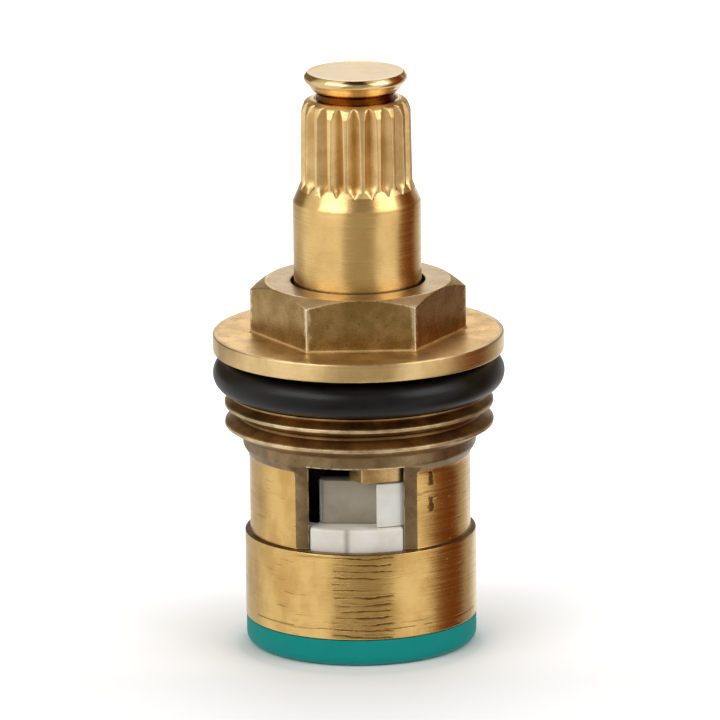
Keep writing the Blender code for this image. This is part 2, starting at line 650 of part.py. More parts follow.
def inlet_seal(rubber):
    """The rubber seat seal: a flange under the bonnet and a neck up to the fixed disc."""
    edge = arc(SEAL_FLANGE_RADIUS - SEAL_EDGE_ROUND, SEAL_EDGE_ROUND, SEAL_EDGE_ROUND, FRONT, 0, ROUND_STEPS)
    profile = [
        (SEAL_BORE_RADIUS, SEAL_LIP_CHAMFER),
        (SEAL_BORE_RADIUS + SEAL_LIP_CHAMFER, 0),
        *edge,
        (SEAL_FLANGE_RADIUS, SEAL_FLANGE_HEIGHT),
        (SEAL_NECK_RADIUS, SEAL_FLANGE_HEIGHT),
        (SEAL_NECK_RADIUS, SEAL_TOP - SEAL_LIP_CHAMFER),
        (SEAL_NECK_RADIUS - SEAL_LIP_CHAMFER, SEAL_TOP),
        (SEAL_BORE_RADIUS, SEAL_TOP),
    ]
    turned("inlet_seal", profile, rubber, closed=True)


def seal_support_ring(plastic):
    outer = SEAL_BORE_RADIUS - RING_GAP
    inner = outer - SUPPORT_WALL
    top = SEAL_TOP - SUPPORT_TOP_INSET
    profile = [(inner, SUPPORT_BOTTOM), (outer, SUPPORT_BOTTOM), (outer, top), (inner, top)]
    turned("seal_support_ring", profile, plastic, closed=True)


def main():
    clear_scene()
    turned_brass = finish("turned_brass", 0.71, 0.50, 0.23, 1.0, 0.32)
    black_rubber = finish("black_rubber", 0.012, 0.012, 0.013, 0.0, 0.5)
    teal_rubber = finish("teal_rubber", 0.008, 0.235, 0.205, 0.0, 0.55)
    ceramic = finish("ceramic", 0.78, 0.77, 0.73, 0.0, 0.35)
    plastic = finish("acetal", 0.8, 0.79, 0.74, 0.0, 0.45)
    valve_body(turned_brass)
    spindle(turned_brass)
    rubber_rings(black_rubber)
    friction_washer(plastic)
    moving_disc(ceramic)
    fixed_disc(ceramic)
    inlet_seal(teal_rubber)
    seal_support_ring(plastic)


main()
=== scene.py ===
"""The looks of a ceramic disc tap cartridge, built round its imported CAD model.

Metres, +Z up the spindle, and the outlet windows face -Y and +Y. The bonnet, spindle, discs, flange ring
and seal are modelled again at a finer grain and stand for their CAD nodes. The rings and the washer inside
keep theirs.
"""

import math

import bmesh
import bpy
import numpy as np
from mathutils import Matrix, Quaternion, Vector

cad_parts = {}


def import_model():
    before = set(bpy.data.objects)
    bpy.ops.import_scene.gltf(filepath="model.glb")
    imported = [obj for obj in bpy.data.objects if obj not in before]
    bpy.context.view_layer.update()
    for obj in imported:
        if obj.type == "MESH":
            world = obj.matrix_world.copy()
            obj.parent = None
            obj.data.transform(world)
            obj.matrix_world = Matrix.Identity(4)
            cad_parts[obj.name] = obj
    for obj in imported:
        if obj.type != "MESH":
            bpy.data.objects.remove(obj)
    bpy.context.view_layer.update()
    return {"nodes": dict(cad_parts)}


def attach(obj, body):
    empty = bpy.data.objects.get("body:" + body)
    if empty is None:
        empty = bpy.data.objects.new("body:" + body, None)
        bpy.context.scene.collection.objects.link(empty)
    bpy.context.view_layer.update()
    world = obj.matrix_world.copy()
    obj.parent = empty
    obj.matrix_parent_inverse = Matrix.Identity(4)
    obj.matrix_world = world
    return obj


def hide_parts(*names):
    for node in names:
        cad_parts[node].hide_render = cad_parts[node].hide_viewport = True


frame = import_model()

MM = 0.001
FRONT = -math.pi / 2
TAU = math.tau
SHARP_DEGREES = 38


# Sizes of the bonnet in mm, as the CAD model has them

HEX_CORNER = FRONT + math.radians(4 + 30)
HEX_APOTHEM = 6.95
HEX_TOP = 27.45
HEX_CHAMFER_START = 6.9
HEX_FOOT_FILLET = 0.2
MOUTH_RADIUS = 5.02
FLANGE_TOP = 23.53
FLANGE_BOTTOM = 22.15
FLANGE_RADIUS = 10.8
GROOVE_BOTTOM = 19.15
GROOVE_RADIUS = 8.2
GROOVE_RIM = 9.75
THREAD_RADIUS = 10.0
THREAD_ROOT = 9.08
THREAD_BOTTOM = 16.0
THREAD_PITCH = 1.5
THREAD_TOP = 19.0
THREAD_HALF_CREST = 0.11
RELIEF_RADIUS = 8.66
RELIEF_BOTTOM = 15.1
CAGE_RADIUS = 8.21
CAGE_TOP = 14.42
CAGE_BORE = 7.72
BAND_RADIUS = 8.6
BAND_TOP = 8.5
BODY_BOTTOM = 2.05
INNER_SHOULDER = 18.2
BORE_RADIUS = 4.82
WINDOW_BOTTOM = 8.55
WINDOW_TOP = 15.05
WINDOW_FLAT = 6.87
WINDOW_HALF_WIDTH = 3.52
KEYWAY_RADIUS = 7.92
KEYWAY_HALF_WIDTH = 3.5
KEYWAY_TOP = 11.5

# Sizes of the spindle in mm

BUTTON = (
    (0.25, 43.13), (0.6, 43.14), (1.2, 43.145), (2.0, 43.15), (2.8, 43.155), (3.3, 43.165), (3.47, 43.195),
    (3.53, 43.2), (3.58, 43.19), (3.62, 43.155), (3.70, 43.05), (3.77, 42.955), (3.82, 42.87), (3.83, 42.77),
    (3.81, 42.66), (3.75, 42.55), (3.66, 42.46), (3.55, 42.35), (3.42, 42.17), (3.29, 41.97), (3.16, 41.83),
)
NECK = ((3.03, 41.75), (2.94, 41.69), (2.91, 41.6), (2.91, 41.3), (2.93, 41.23), (2.98, 41.2), (3.12, 41.2))
SHOULDER = ((3.2, 41.2), (3.39, 41.185, 0.1), (3.80, 40.98, 0.4), (4.05, 40.3, 0.4), (4.06, 39.9))
SPLINE_TEETH = 20
SPLINE_ROOT = 3.58
SPLINE_HALF_ANGLE = math.radians(46)
SPLINE_TOP = (4.06, 39.9)
SPLINE_FOOT = (4.14, 34.85)
SPLINE_TIP = 34.4
SPLINE_RUN_OUT = 0.7
SPLINE_RUN_OUT_DEPTH = 0.77
SHAFT_RADIUS = 4.74
SHAFT_TOP = 33.46
RING_GROOVE_RADIUS = 3.36
RING_GROOVES = ((25.45, 23.65), (22.25, 20.45))
DRIVE_RADIUS = 7.5
DRIVE_TOP = 17.6
DRIVE_BOTTOM = 16.1
STUD_RADIUS = 2.6
STUD_BOTTOM = 13.9
LUG_BOTTOM = 13.6
LUG_RADIUS = 7.25
LUG_CHAMFER = 5.95
SLOT_TURN = math.radians(-35)

# Sizes of the discs, the flange ring and the seal in mm

DISC_RADIUS = 7.40
DISC_SPLIT = (10.25, 10.30)
DISC_TOP = 13.55
DISC_BOTTOM = 7.0
DISC_EDGE = 0.2
EAR_RADIUS = 7.85
EAR_HALF_WIDTH = 3.43
WING = 1.5
HUB_FLAT = 5.9
HUB_CORNER = 2.8
HUB_WAIST = 2.1
HUB_ROUNDING = 0.6
PORT_RADIUS = 6.4
PORT_WALL = 0.5
RING_RADIUS = 9.5425
RING_SECTION = 1.2975
RING_HEIGHT = 20.4925
SEAL_HOLE = 6.55
SEAL_RADIUS = 8.57
SEAL_LEDGE = 2.0
SEAL_NECK = 7.62
SEAL_TOP = 6.95

# Places of the marks of use in mm

MARK_PITCH = 0.50
MARKS_MIDDLE = 0.55
LOW_MARK = 2.85
NICK_SIDE = 5.5
NICK_HEIGHTS = (13.8, 11.8)
NOTCH_SIDE = -0.70


# Meshes

def mesh_object(name, verts, faces, materials, indices=None):
    """A closed mesh from points in mm, shaded smooth apart from its sharp edges."""
    mesh = bpy.data.meshes.new(name)
    mesh.from_pydata([tuple(p) for p in np.asarray(verts, float) * MM], [], faces)
    for material in materials:
        mesh.materials.append(material)
    if indices is not None:
        mesh.polygons.foreach_set("material_index", indices)
    mesh.validate()
    tidy = bmesh.new()
    tidy.from_mesh(mesh)
    bmesh.ops.recalc_face_normals(tidy, faces=tidy.faces)
    tidy.to_mesh(mesh)
    tidy.free()
    mesh.shade_smooth()
    mesh.set_sharp_from_angle(angle=math.radians(SHARP_DEGREES))
    item = bpy.data.objects.new(name, mesh)
    bpy.context.scene.collection.objects.link(item)
    return item


def ring_rows(rows, closed):
    """Faces of a stack of rings with equal numbers of points, closed on itself or capped at both ends."""
    count = len(rows[0])
    verts = np.concatenate(rows)
    faces = []
    owners = []
    steps = len(rows) if closed else len(rows) - 1
    for row in range(steps):
        start = row * count
        other = ((row + 1) % len(rows)) * count
        for column in range(count):
            after = (column + 1) % count
            faces.append((start + column, start + after, other + after, other + column))
            owners.append(row)
    if not closed:
        for row, end in ((0, rows[0]), (len(rows) - 1, rows[-1])):
            middle = len(verts)
            verts = np.concatenate([verts, end.mean(0)[None]])
            start = row * count
            for column in range(count):
                faces.append((start + column, start + (column + 1) % count, middle))
                owners.append(min(row, steps - 1))
    return verts, faces, owners


def points_round(radius, height, angles):
    """A ring of points. Radius and height are numbers, or one number for each angle."""
    radius = np.broadcast_to(np.asarray(radius, float), angles.shape)
    height = np.broadcast_to(np.asarray(height, float), angles.shape)
    return np.stack([radius * np.cos(angles), radius * np.sin(angles), height], 1)


def filleted(points, steps=4):
    """A polyline of (radius, height[, fillet]) points with its corners rounded."""
    result = []
    for index, point in enumerate(points):
        fillet = point[2] if len(point) > 2 else 0
        here = Vector(point[:2])
        if not fillet or index in (0, len(points) - 1):
            result.append(tuple(here))
            continue
        before = (Vector(points[index - 1][:2]) - here)
        after = (Vector(points[index + 1][:2]) - here)
        half = before.angle(after) / 2
        reach = min(fillet / math.tan(half), before.length * 0.49, after.length * 0.49)
        start = here + before.normalized() * reach
        end = here + after.normalized() * reach
        for step in range(steps + 1):
            t = step / steps
            result.append(tuple(start * (1 - t) ** 2 + here * 2 * t * (1 - t) + end * t**2))
    return result


def even(points, longest):
    """The same polyline with no step longer than the given length."""
    result = [points[0]]
    for first, second in zip(points, points[1:]):
        length = math.dist(first, second)
        steps = max(1, math.ceil(length / longest))
        for step in range(1, steps + 1):
            t = step / steps
            result.append((first[0] + (second[0] - first[0]) * t, first[1] + (second[1] - first[1]) * t))
    return result


def lathe(name, outline, material, columns=240):
    """A closed outline turned about the axis."""
    angles = np.linspace(0, TAU, columns, endpoint=False)
    rows = [points_round(radius, height, angles) for radius, height in outline]
    verts, faces, _ = ring_rows(rows, True)
    return mesh_object(name, verts, faces, [material])


def prism(name, outlines, bottom, top, materials, index=0):
    """Upright prisms from outlines of (x, y) points in mm."""
    verts = []
    faces = []
    for outline in outlines:
        start = len(verts)
        count = len(outline)
        verts += [(x, y, bottom) for x, y in outline] + [(x, y, top) for x, y in outline]
        faces.append(tuple(start + i for i in reversed(range(count))))
        faces.append(tuple(start + count + i for i in range(count)))
        for i in range(count):
            j = (i + 1) % count
            faces.append((start + i, start + j, start + count + j, start + count + i))
    return mesh_object(name, verts, faces, materials, [index] * len(faces))


def arc(radius, start, end, steps, centre=(0, 0)):
    """Points on an arc, both ends included."""
    angles = [start + (end - start) * step / steps for step in range(steps + 1)]
    return [(centre[0] + radius * math.cos(a), centre[1] + radius * math.sin(a)) for a in angles]


def opposite(outline):
    """The same outline turned half way round the axis."""
    return [(-x, -y) for x, y in outline]


def combine(item, tool, operation):
    """Adds or cuts a tool, then removes it."""
    modifier = item.modifiers.new("combine", "BOOLEAN")
    modifier.object = tool
    modifier.operation = operation
    modifier.solver = "EXACT"
    settle(item)
    bpy.data.objects.remove(tool, do_unlink=True)


def settle(item):
    """Applies the modifiers of an object."""
    graph = bpy.context.evaluated_depsgraph_get()
    made = bpy.data.meshes.new_from_object(item.evaluated_get(graph))
    item.modifiers.clear()
    old = item.data
    item.data = made
    made.name = item.name
    bpy.data.meshes.remove(old)


def soften(item, width):
    """Rounds the sharp edges of a piece with few faces."""
    modifier = item.modifiers.new("soften", "BEVEL")
    modifier.limit_method = "ANGLE"
    modifier.angle_limit = math.radians(30)
    modifier.width = width * MM
    modifier.segments = 3
    modifier.use_clamp_overlap = True
    settle(item)


def shade(item, sharp=SHARP_DEGREES):
    """Smooth shading apart from sharp edges, done again after cutting and rounding."""
    item.data.shade_smooth()
    item.data.set_sharp_from_angle(angle=math.radians(sharp))


# Materials

# Places of the colour sockets of a Mix node
MIX_FIRST = 6
MIX_SECOND = 7
MIX_RESULT = 2


class Shader:
    """Nodes of one material, joined by short calls."""

    def __init__(self, name, colour=(0.8, 0.8, 0.8), metallic=0.0, roughness=0.5):
        self.material = bpy.data.materials.new(name)
        self.material.use_nodes = True
        self.tree = self.material.node_tree
        self.surface = self.tree.nodes["Principled BSDF"]
        self.surface.inputs["Base Color"].default_value = (*colour, 1)
        self.surface.inputs["Metallic"].default_value = metallic
        self.surface.inputs["Roughness"].default_value = roughness
        place = self.tree.nodes.new("ShaderNodeTexCoord").outputs["Object"]
        self.place = self.vector("SCALE", place, scale=1 / MM)

    def link(self, value, socket):
        if isinstance(value, bpy.types.NodeSocket):
            self.tree.links.new(value, socket)
        else:
            socket.default_value = value

    def math(self, operation, first, second=0.0, clamp=False):
        node = self.tree.nodes.new("ShaderNodeMath")
        node.operation = operation
        node.use_clamp = clamp
        self.link(first, node.inputs[0])
        self.link(second, node.inputs[1])
        return node.outputs[0]

    def vector(self, operation, first, second=(0, 0, 0), scale=1.0):
        node = self.tree.nodes.new("ShaderNodeVectorMath")
        node.operation = operation
        self.link(first, node.inputs[0])
        if operation == "SCALE":
            self.link(scale, node.inputs["Scale"])
        else:
            self.link(second, node.inputs[1])
        return node.outputs["Value" if operation == "LENGTH" else "Vector"]

    def noise(self, stretch, detail=2.0, roughness=0.5):
        """Noise over the surface. Stretch is how many waves there are to a mm along X, Y and Z."""
        node = self.tree.nodes.new("ShaderNodeTexNoise")
        self.link(self.vector("MULTIPLY", self.place, stretch), node.inputs["Vector"])
        node.inputs["Scale"].default_value = 1.0
        node.inputs["Detail"].default_value = detail
        node.inputs["Roughness"].default_value = roughness
        return node.outputs["Fac"]

    def cells(self, stretch):
        """Distance to the nearest of some scattered points."""
        node = self.tree.nodes.new("ShaderNodeTexVoronoi")
        self.link(self.vector("MULTIPLY", self.place, stretch), node.inputs["Vector"])
        node.inputs["Scale"].default_value = 1.0
        return node.outputs["Distance"]

    def span(self, value, low, high, to_low=0.0, to_high=1.0):
        """Maps a range to another, smoothly and without going past its ends."""
        node = self.tree.nodes.new("ShaderNodeMapRange")
        node.interpolation_type = "SMOOTHSTEP"
        self.link(value, node.inputs["Value"])
        for name, number in (("From Min", low), ("From Max", high), ("To Min", to_low), ("To Max", to_high)):
            node.inputs[name].default_value = number
        return node.outputs["Result"]

    def mix(self, share, first, second):
        """The first colour where the share is 0 and the second where it is 1."""
        node = self.tree.nodes.new("ShaderNodeMix")
        node.data_type = "RGBA"
        self.link(share, node.inputs["Factor"])
        for value, place in ((first, MIX_FIRST), (second, MIX_SECOND)):
            colour = value if isinstance(value, bpy.types.NodeSocket) else (*value, 1)
            self.link(colour, node.inputs[place])
        return node.outputs[MIX_RESULT]

    def bump(self, height, depth, under=None):
        """A bump whose full range of heights is that deep, in mm."""
        node = self.tree.nodes.new("ShaderNodeBump")
        node.inputs["Strength"].default_value = 1.0
        node.inputs["Distance"].default_value = depth * MM
        self.link(height, node.inputs["Height"])
        if under:
            self.link(under, node.inputs["Normal"])
        return node.outputs["Normal"]

    def radius(self):
        return self.vector("LENGTH", self.vector("MULTIPLY", self.place, (1, 1, 0)))

    def along(self, axis):
        node = self.tree.nodes.new("ShaderNodeSeparateXYZ")
        self.link(self.place, node.inputs[0])
        return node.outputs[axis]

    def finish(self, colour=None, roughness=None, normal=None):
        for value, name in ((colour, "Base Color"), (roughness, "Roughness"), (normal, "Normal")):
            if value is not None:
                self.link(value, self.surface.inputs[name])
        return self.material


def tool_marks(s):
    """Scored rings: close together below the windows, scattered elsewhere, and one near the bottom."""
    height = s.along("Z")
    sway = s.math("MULTIPLY", s.noise((0.30, 0.30, 0.9), detail=4.0, roughness=0.6), 9.0)
    phase = s.math("ADD", s.math("MULTIPLY", height, TAU / MARK_PITCH), sway)
    strong = s.span(s.math("SINE", phase), 0.55, 0.95)
    faint = s.span(s.math("SINE", s.math("MULTIPLY", phase, 2.0)), 0.5, 0.95, 0.0, 0.45)
    depth = s.span(s.noise((0.22, 0.22, 2.6), detail=3.0, roughness=0.6), 0.38, 0.52)
    ragged = s.math("MULTIPLY", s.noise((0.9, 0.9, 2.4), detail=2.0), 1.1)
    side = s.math("ABSOLUTE", s.math("SUBTRACT", s.along("X"), MARKS_MIDDLE))
    patch = s.span(s.math("ADD", side, ragged), 2.5, 2.85, 1.0, 0.0)
    loose = s.span(s.noise((0.30, 0.30, 1.3), detail=2.0), 0.56, 0.64, 0.0, 0.5)
    place = s.math("MULTIPLY", depth, s.math("MAXIMUM", patch, loose))
    marks = s.math("MULTIPLY", s.math("MAXIMUM", strong, faint), place)
    breaks = s.span(s.noise((0.5, 0.5, 0.5), detail=3.0), 0.42, 0.52, 0.0, 0.8)
    low = s.span(s.math("ABSOLUTE", s.math("SUBTRACT", height, LOW_MARK)), 0.02, 0.07, 1.0, 0.0)
    return s.math("MAXIMUM", marks, s.math("MULTIPLY", low, breaks))


def nicks(s):
    """Two dents in the cage, beside the front window."""
    ragged = s.math("MULTIPLY", s.noise((2.0, 2.0, 3.0), detail=4.0, roughness=0.7), 0.7)
    side = s.math("ABSOLUTE", s.math("SUBTRACT", s.along("X"), NICK_SIDE))
    column = s.span(s.math("ADD", side, ragged), 0.48, 0.56, 1.0, 0.0)
    column = s.math("MULTIPLY", column, s.math("LESS_THAN", s.along("Y"), 0.0))
    dents = 0.0
    for middle in NICK_HEIGHTS:
        off = s.math("ABSOLUTE", s.math("SUBTRACT", s.along("Z"), middle))
        dents = s.math("MAXIMUM", dents, s.span(s.math("ADD", off, ragged), 0.85, 0.95, 1.0, 0.0))
    return s.math("MULTIPLY", column, dents)


def window_wear_and_highlight(s):
    """Bright lines on the edges of the milled windows: rubbed wear, and partly a painted highlight of the
    edges.
    """
    side = s.math("ABSOLUTE", s.along("X"))
    jamb = s.span(s.math("ABSOLUTE", s.math("SUBTRACT", side, WINDOW_HALF_WIDTH)), 0.01, 0.07, 1.0, 0.0)
    lintel = s.span(s.math("ABSOLUTE", s.math("SUBTRACT", s.along("Z"), WINDOW_TOP)), 0.03, 0.10, 1.0, 0.0)
    lintel = s.math("MULTIPLY", lintel, s.math("LESS_THAN", side, WINDOW_HALF_WIDTH + 0.1))
    jamb = s.math("MULTIPLY", jamb, s.math("LESS_THAN", s.along("Z"), WINDOW_TOP))
    breaks = s.span(s.noise((1.5, 1.5, 1.5), detail=4.0), 0.38, 0.56)
    return s.math("MULTIPLY", s.math("MAXIMUM", jamb, lintel), breaks)


def turned_brass(name, base, tarnish, roughness, lines, stain, grooves=0.0):
    """Brass with the rings of a turning tool, which stretch what it mirrors up and down."""
    s = Shader(name, metallic=1.0)
    fine = s.noise((0.02, 0.02, 17.0), detail=3.0)
    coarse = s.noise((0.02, 0.02, 4.6), detail=2.0)
    scored = s.math("MULTIPLY", s.math("MAXIMUM", tool_marks(s), nicks(s)), grooves)
    cloud = s.noise((0.30, 0.30, 0.22), detail=5.0, roughness=0.62)
    specks = s.span(s.cells((1.7, 1.7, 1.7)), 0.05, 0.13, 1.0, 0.0)
    specks = s.math("MULTIPLY", specks, s.span(s.noise((0.8, 0.8, 0.8)), 0.52, 0.62))
    dark = s.math("MULTIPLY", s.span(cloud, 0.40, 0.68), stain)
    dark = s.math("ADD", dark, s.math("MULTIPLY", specks, 0.5), clamp=True)
    colour = s.mix(dark, base, tarnish)
    colour = s.mix(scored, colour, (0.10, 0.045, 0.010))
    rough = s.span(coarse, 0.3, 0.7, roughness - 0.05, roughness + 0.07)
    rough = s.math("ADD", rough, s.math("MULTIPLY", dark, 0.1))
    height = s.math("ADD", s.math("MULTIPLY", fine, 0.5), coarse)
    height = s.math("SUBTRACT", height, scored)
    normal = s.bump(height, lines)
    normal = s.bump(s.math("SUBTRACT", 1.0, specks), lines * 1.5, normal)
    s.surface.inputs["Anisotropic"].default_value = 0.75
    s.surface.inputs["Anisotropic Rotation"].default_value = 0.25
    tangent = s.tree.nodes.new("ShaderNodeTangent")
    tangent.direction_type = "RADIAL"
    tangent.axis = "Z"
    s.link(tangent.outputs[0], s.surface.inputs["Tangent"])
    return s.finish(colour, rough, normal)


def painted_inner_shade(s, colour):
    """Painted shade: the same colour darkened to near black inside the rim and away from the windows, where
    the water ways lie deep in shade.
    """
    inside = s.span(s.radius(), 6.5, 7.0, 1.0, 0.0)
    between = s.span(s.math("ABSOLUTE", s.along("Y")), 4.2, 5.2, 1.0, 0.0)
    return s.mix(s.math("MULTIPLY", inside, between), colour, (0.008, 0.005, 0.003))


def dull_brass(name, base, dark_base, roughness, grain=0.012, pitted=0.6, wear_and_highlight=None, inner_shade=False):
    """Brass as drawn or milled: grainy, stained and pitted. An optional mask paints bright edges, partly
    wear and partly a painted highlight; an optional flag paints near-black shade inside the water ways.
    """
    s = Shader(name, metallic=1.0)
    cloud = s.noise((0.5, 0.5, 0.5), detail=6.0, roughness=0.65)
    grit = s.noise((9.0, 9.0, 9.0), detail=3.0, roughness=0.6)
    pits = s.span(s.cells((1.1, 1.1, 1.1)), 0.06, 0.16, 1.0, 0.0)
    share = s.span(cloud, 0.34, 0.68)
    share = s.math("ADD", share, s.math("MULTIPLY", s.span(grit, 0.5, 0.75), 0.35), clamp=True)
    colour = s.mix(share, base, dark_base)
    colour = s.mix(s.math("MULTIPLY", pits, pitted), colour, (0.16, 0.09, 0.04))
    # Bright edges: wear, and partly a painted highlight.
    if wear_and_highlight:
        colour = s.mix(s.math("MULTIPLY", wear_and_highlight(s), 0.75), colour, (0.92, 0.76, 0.50))
    # Painted shade, near black, inside the water ways.
    if inner_shade:
        colour = painted_inner_shade(s, colour)
    rough = s.span(grit, 0.25, 0.75, roughness - 0.08, roughness + 0.08)
    height = s.math("ADD", grit, s.math("MULTIPLY", cloud, 1.5))
    height = s.math("SUBTRACT", height, s.math("MULTIPLY", pits, pitted))
    return s.finish(colour, rough, s.bump(height, grain))


def corner_wear_and_highlight(s):
    """The hexagon's corners: bright wear, and partly a painted highlight."""
    out = s.math("ADD", s.radius(), s.math("MULTIPLY", s.noise((2.2, 2.2, 1.4), detail=4.0), 0.5))
    return s.span(out, 8.10, 8.22)


def chamfer_wear_and_highlight(s):
    """The hexagon's corners, as its chamfer meets them: bright wear, and partly a painted highlight."""
    out = s.math("ADD", s.radius(), s.math("MULTIPLY", s.noise((1.6, 1.6, 1.6), detail=4.0), 0.6))
    return s.span(out, 7.95, 8.15)


def thread_brass(name):
    """Painted shade darkens the roots; the crests are rubbed bright."""
    s = Shader(name, metallic=1.0)
    out = s.radius()
    cloud = s.noise((0.45, 0.45, 0.9), detail=5.0, roughness=0.65)
    grit = s.noise((7.0, 7.0, 9.0), detail=3.0, roughness=0.6)
    crest = s.span(s.math("ADD", out, s.math("MULTIPLY", grit, 0.16)), 9.90, 10.04)
    colour = s.mix(s.span(cloud, 0.35, 0.65), (0.40, 0.25, 0.10), (0.22, 0.12, 0.045))
    # Painted shade towards the roots.
    colour = s.mix(s.span(out, 8.9, 9.5, 0.75, 0.0), colour, (0.10, 0.045, 0.012))
    colour = s.mix(crest, colour, s.mix(s.span(cloud, 0.4, 0.6), (0.70, 0.55, 0.33), (0.42, 0.30, 0.15)))
    rough = s.span(crest, 0.0, 1.0, 0.34, 0.40)
    return s.finish(colour, rough, s.bump(s.math("ADD", grit, cloud), 0.01))


def rubber(name, base, light, roughness, specular):
    """Rubber with a faint bloom and a little dust."""
    s = Shader(name, roughness=roughness)
    cloud = s.noise((0.35, 0.35, 0.35), detail=5.0, roughness=0.6)
    grit = s.noise((7.0, 7.0, 7.0), detail=2.0)
    dust = s.span(s.noise((3.1, 3.1, 3.1), detail=4.0, roughness=0.7), 0.66, 0.76)
    colour = s.mix(s.span(cloud, 0.3, 0.7, 0.0, 0.5), base, light)
    colour = s.mix(s.math("MULTIPLY", dust, 0.35), colour, light)
    rough = s.span(cloud, 0.3, 0.7, roughness - 0.05, roughness + 0.08)
    s.surface.inputs["Specular IOR Level"].default_value = specular
    return s.finish(colour, rough, s.bump(s.math("ADD", grit, s.math("MULTIPLY", cloud, 2.0)), 0.006))


def cavity_shade_material(name):
    """Painted shade: a near-black surface inside the cage, which hides the metal where it lies in shade."""
    s = Shader(name, roughness=0.9)
    cloud = s.noise((0.6, 0.6, 0.6), detail=5.0, roughness=0.6)
    grit = s.noise((8.0, 8.0, 8.0), detail=2.0)
    s.surface.inputs["Specular IOR Level"].default_value = 0.08
    colour = s.mix(s.span(cloud, 0.35, 0.7), (0.004, 0.003, 0.002), (0.016, 0.010, 0.006))
    return s.finish(colour, s.span(grit, 0.3, 0.7, 0.8, 0.95), s.bump(grit, 0.006))


def ground_ceramic(name, base, shaded, notch_shade=False):
    """Sintered alumina with ground faces, and for the fixed disc painted grey shade round its notch; deep
    parts get painted shade, near black.
    """
    s = Shader(name, roughness=0.34)
    cloud = s.noise((0.4, 0.4, 0.4), detail=5.0, roughness=0.6)
    grit = s.noise((12.0, 12.0, 12.0), detail=2.0)
    scratches = s.span(s.noise((0.6, 0.6, 11.0), detail=2.0), 0.62, 0.75)
    colour = s.mix(s.span(cloud, 0.35, 0.7), base, shaded)
    colour = s.mix(s.math("MULTIPLY", scratches, 0.2), colour, (0.30, 0.27, 0.21))
    # Painted shade spread round the notch in the front ear.
    if notch_shade:
        off = s.math("ABSOLUTE", s.math("SUBTRACT", s.along("X"), NOTCH_SIDE))
        outside = s.math("LESS_THAN", s.along("Y"), -7.6)
        notch_shade_mask = s.math("MULTIPLY", s.span(off, 0.12, 0.34, 0.55, 0.0), outside)
        colour = s.mix(notch_shade_mask, colour, (0.42, 0.38, 0.31))
    # Painted shade, near black, on the deep parts of the discs.
    colour = painted_inner_shade(s, colour)
    rough = s.span(grit, 0.3, 0.7, 0.3, 0.45)
    return s.finish(colour, rough, s.bump(grit, 0.003))


def moulded_plastic(name):
    """Plastic as it leaves the mould, faintly clouded."""
    s = Shader(name, roughness=0.45)
    cloud = s.noise((0.6, 0.6, 0.6), detail=4.0)
    grit = s.noise((8.0, 8.0, 8.0))
    colour = s.mix(s.span(cloud, 0.3, 0.7), (0.82, 0.81, 0.76), (0.72, 0.70, 0.63))
    return s.finish(colour, s.span(grit, 0.3, 0.7, 0.4, 0.55), s.bump(grit, 0.004))


BAND_BRASS = turned_brass("band_brass", (0.73, 0.48, 0.17), (0.42, 0.21, 0.05), 0.20, 0.018, 0.5, 0.85)
STEM_BRASS = turned_brass("stem_brass", (0.76, 0.51, 0.20), (0.47, 0.27, 0.08), 0.26, 0.004, 0.4)
BUTTON_BRASS = turned_brass("button_brass", (0.78, 0.56, 0.27), (0.56, 0.36, 0.13), 0.15, 0.0025, 0.3)
FLANGE_BRASS = turned_brass("flange_brass", (0.74, 0.53, 0.25), (0.42, 0.26, 0.09), 0.30, 0.006, 0.6)
SPLINE_BRASS = dull_brass("spline_brass", (0.84, 0.60, 0.28), (0.66, 0.43, 0.17), 0.40, 0.003, pitted=0.0)
# Painted shade of the recess under the button, with tarnish: a dark red-brown brass for the neck.
NECK_SHADE_BRASS = dull_brass("neck_shade_brass", (0.20, 0.055, 0.004), (0.10, 0.02, 0.002), 0.22, 0.004, pitted=0.0)
FACED_BRASS = dull_brass("faced_brass", (0.55, 0.405, 0.225), (0.42, 0.29, 0.145), 0.36, 0.006)
# Painted highlight: a lighter copy of the hexagon's brass for its up-facing chamfer.
CHAMFER_HIGHLIGHT_BRASS = dull_brass(
    "chamfer_highlight_brass", (0.72, 0.54, 0.30), (0.55, 0.39, 0.19), 0.40, 0.006, wear_and_highlight=chamfer_wear_and_highlight
)
LEDGE_BRASS = dull_brass("flange_top_brass", (0.79, 0.53, 0.22), (0.52, 0.33, 0.125), 0.43, 0.006)
HEX_BRASS = dull_brass("hexagon_brass", (0.48, 0.305, 0.12), (0.30, 0.175, 0.05), 0.27, wear_and_highlight=corner_wear_and_highlight)
RELIEF_BRASS = dull_brass("relief_brass", (0.32, 0.22, 0.115), (0.19, 0.125, 0.06), 0.35, wear_and_highlight=window_wear_and_highlight)
THREAD_BRASS = thread_brass("thread_brass")
# The drive pieces get painted shade, near black, where they lie deep in the window.
DRIVE_BRASS = dull_brass("drive_brass", (0.68, 0.47, 0.20), (0.42, 0.26, 0.09), 0.36, 0.008, inner_shade=True)
# Painted shade: near black for the bore, the keyways and the spindle's hidden parts.
CAVITY_SHADE = cavity_shade_material("cavity_shade")
# Painted shade in the step where the cage meets the band.
STEP_SHADE_BRASS = dull_brass("step_shade_brass", (0.20, 0.12, 0.05), (0.09, 0.05, 0.02), 0.5, 0.02)
BLACK_RUBBER = rubber("ring_rubber", (0.003, 0.0025, 0.002), (0.013, 0.011, 0.008), 0.32, specular=0.22)
TEAL_RUBBER = rubber("seal_rubber", (0.003, 0.255, 0.230), (0.005, 0.30, 0.265), 0.55, specular=0.12)
CERAMIC = ground_ceramic("ceramic", (0.80, 0.78, 0.72), (0.70, 0.66, 0.57))
# The fixed disc's ceramic, with painted shade round its notch.
FIXED_DISC_SHADE_CERAMIC = ground_ceramic("fixed_disc_shade_ceramic", (0.82, 0.79, 0.72), (0.72, 0.67, 0.57), notch_shade=True)
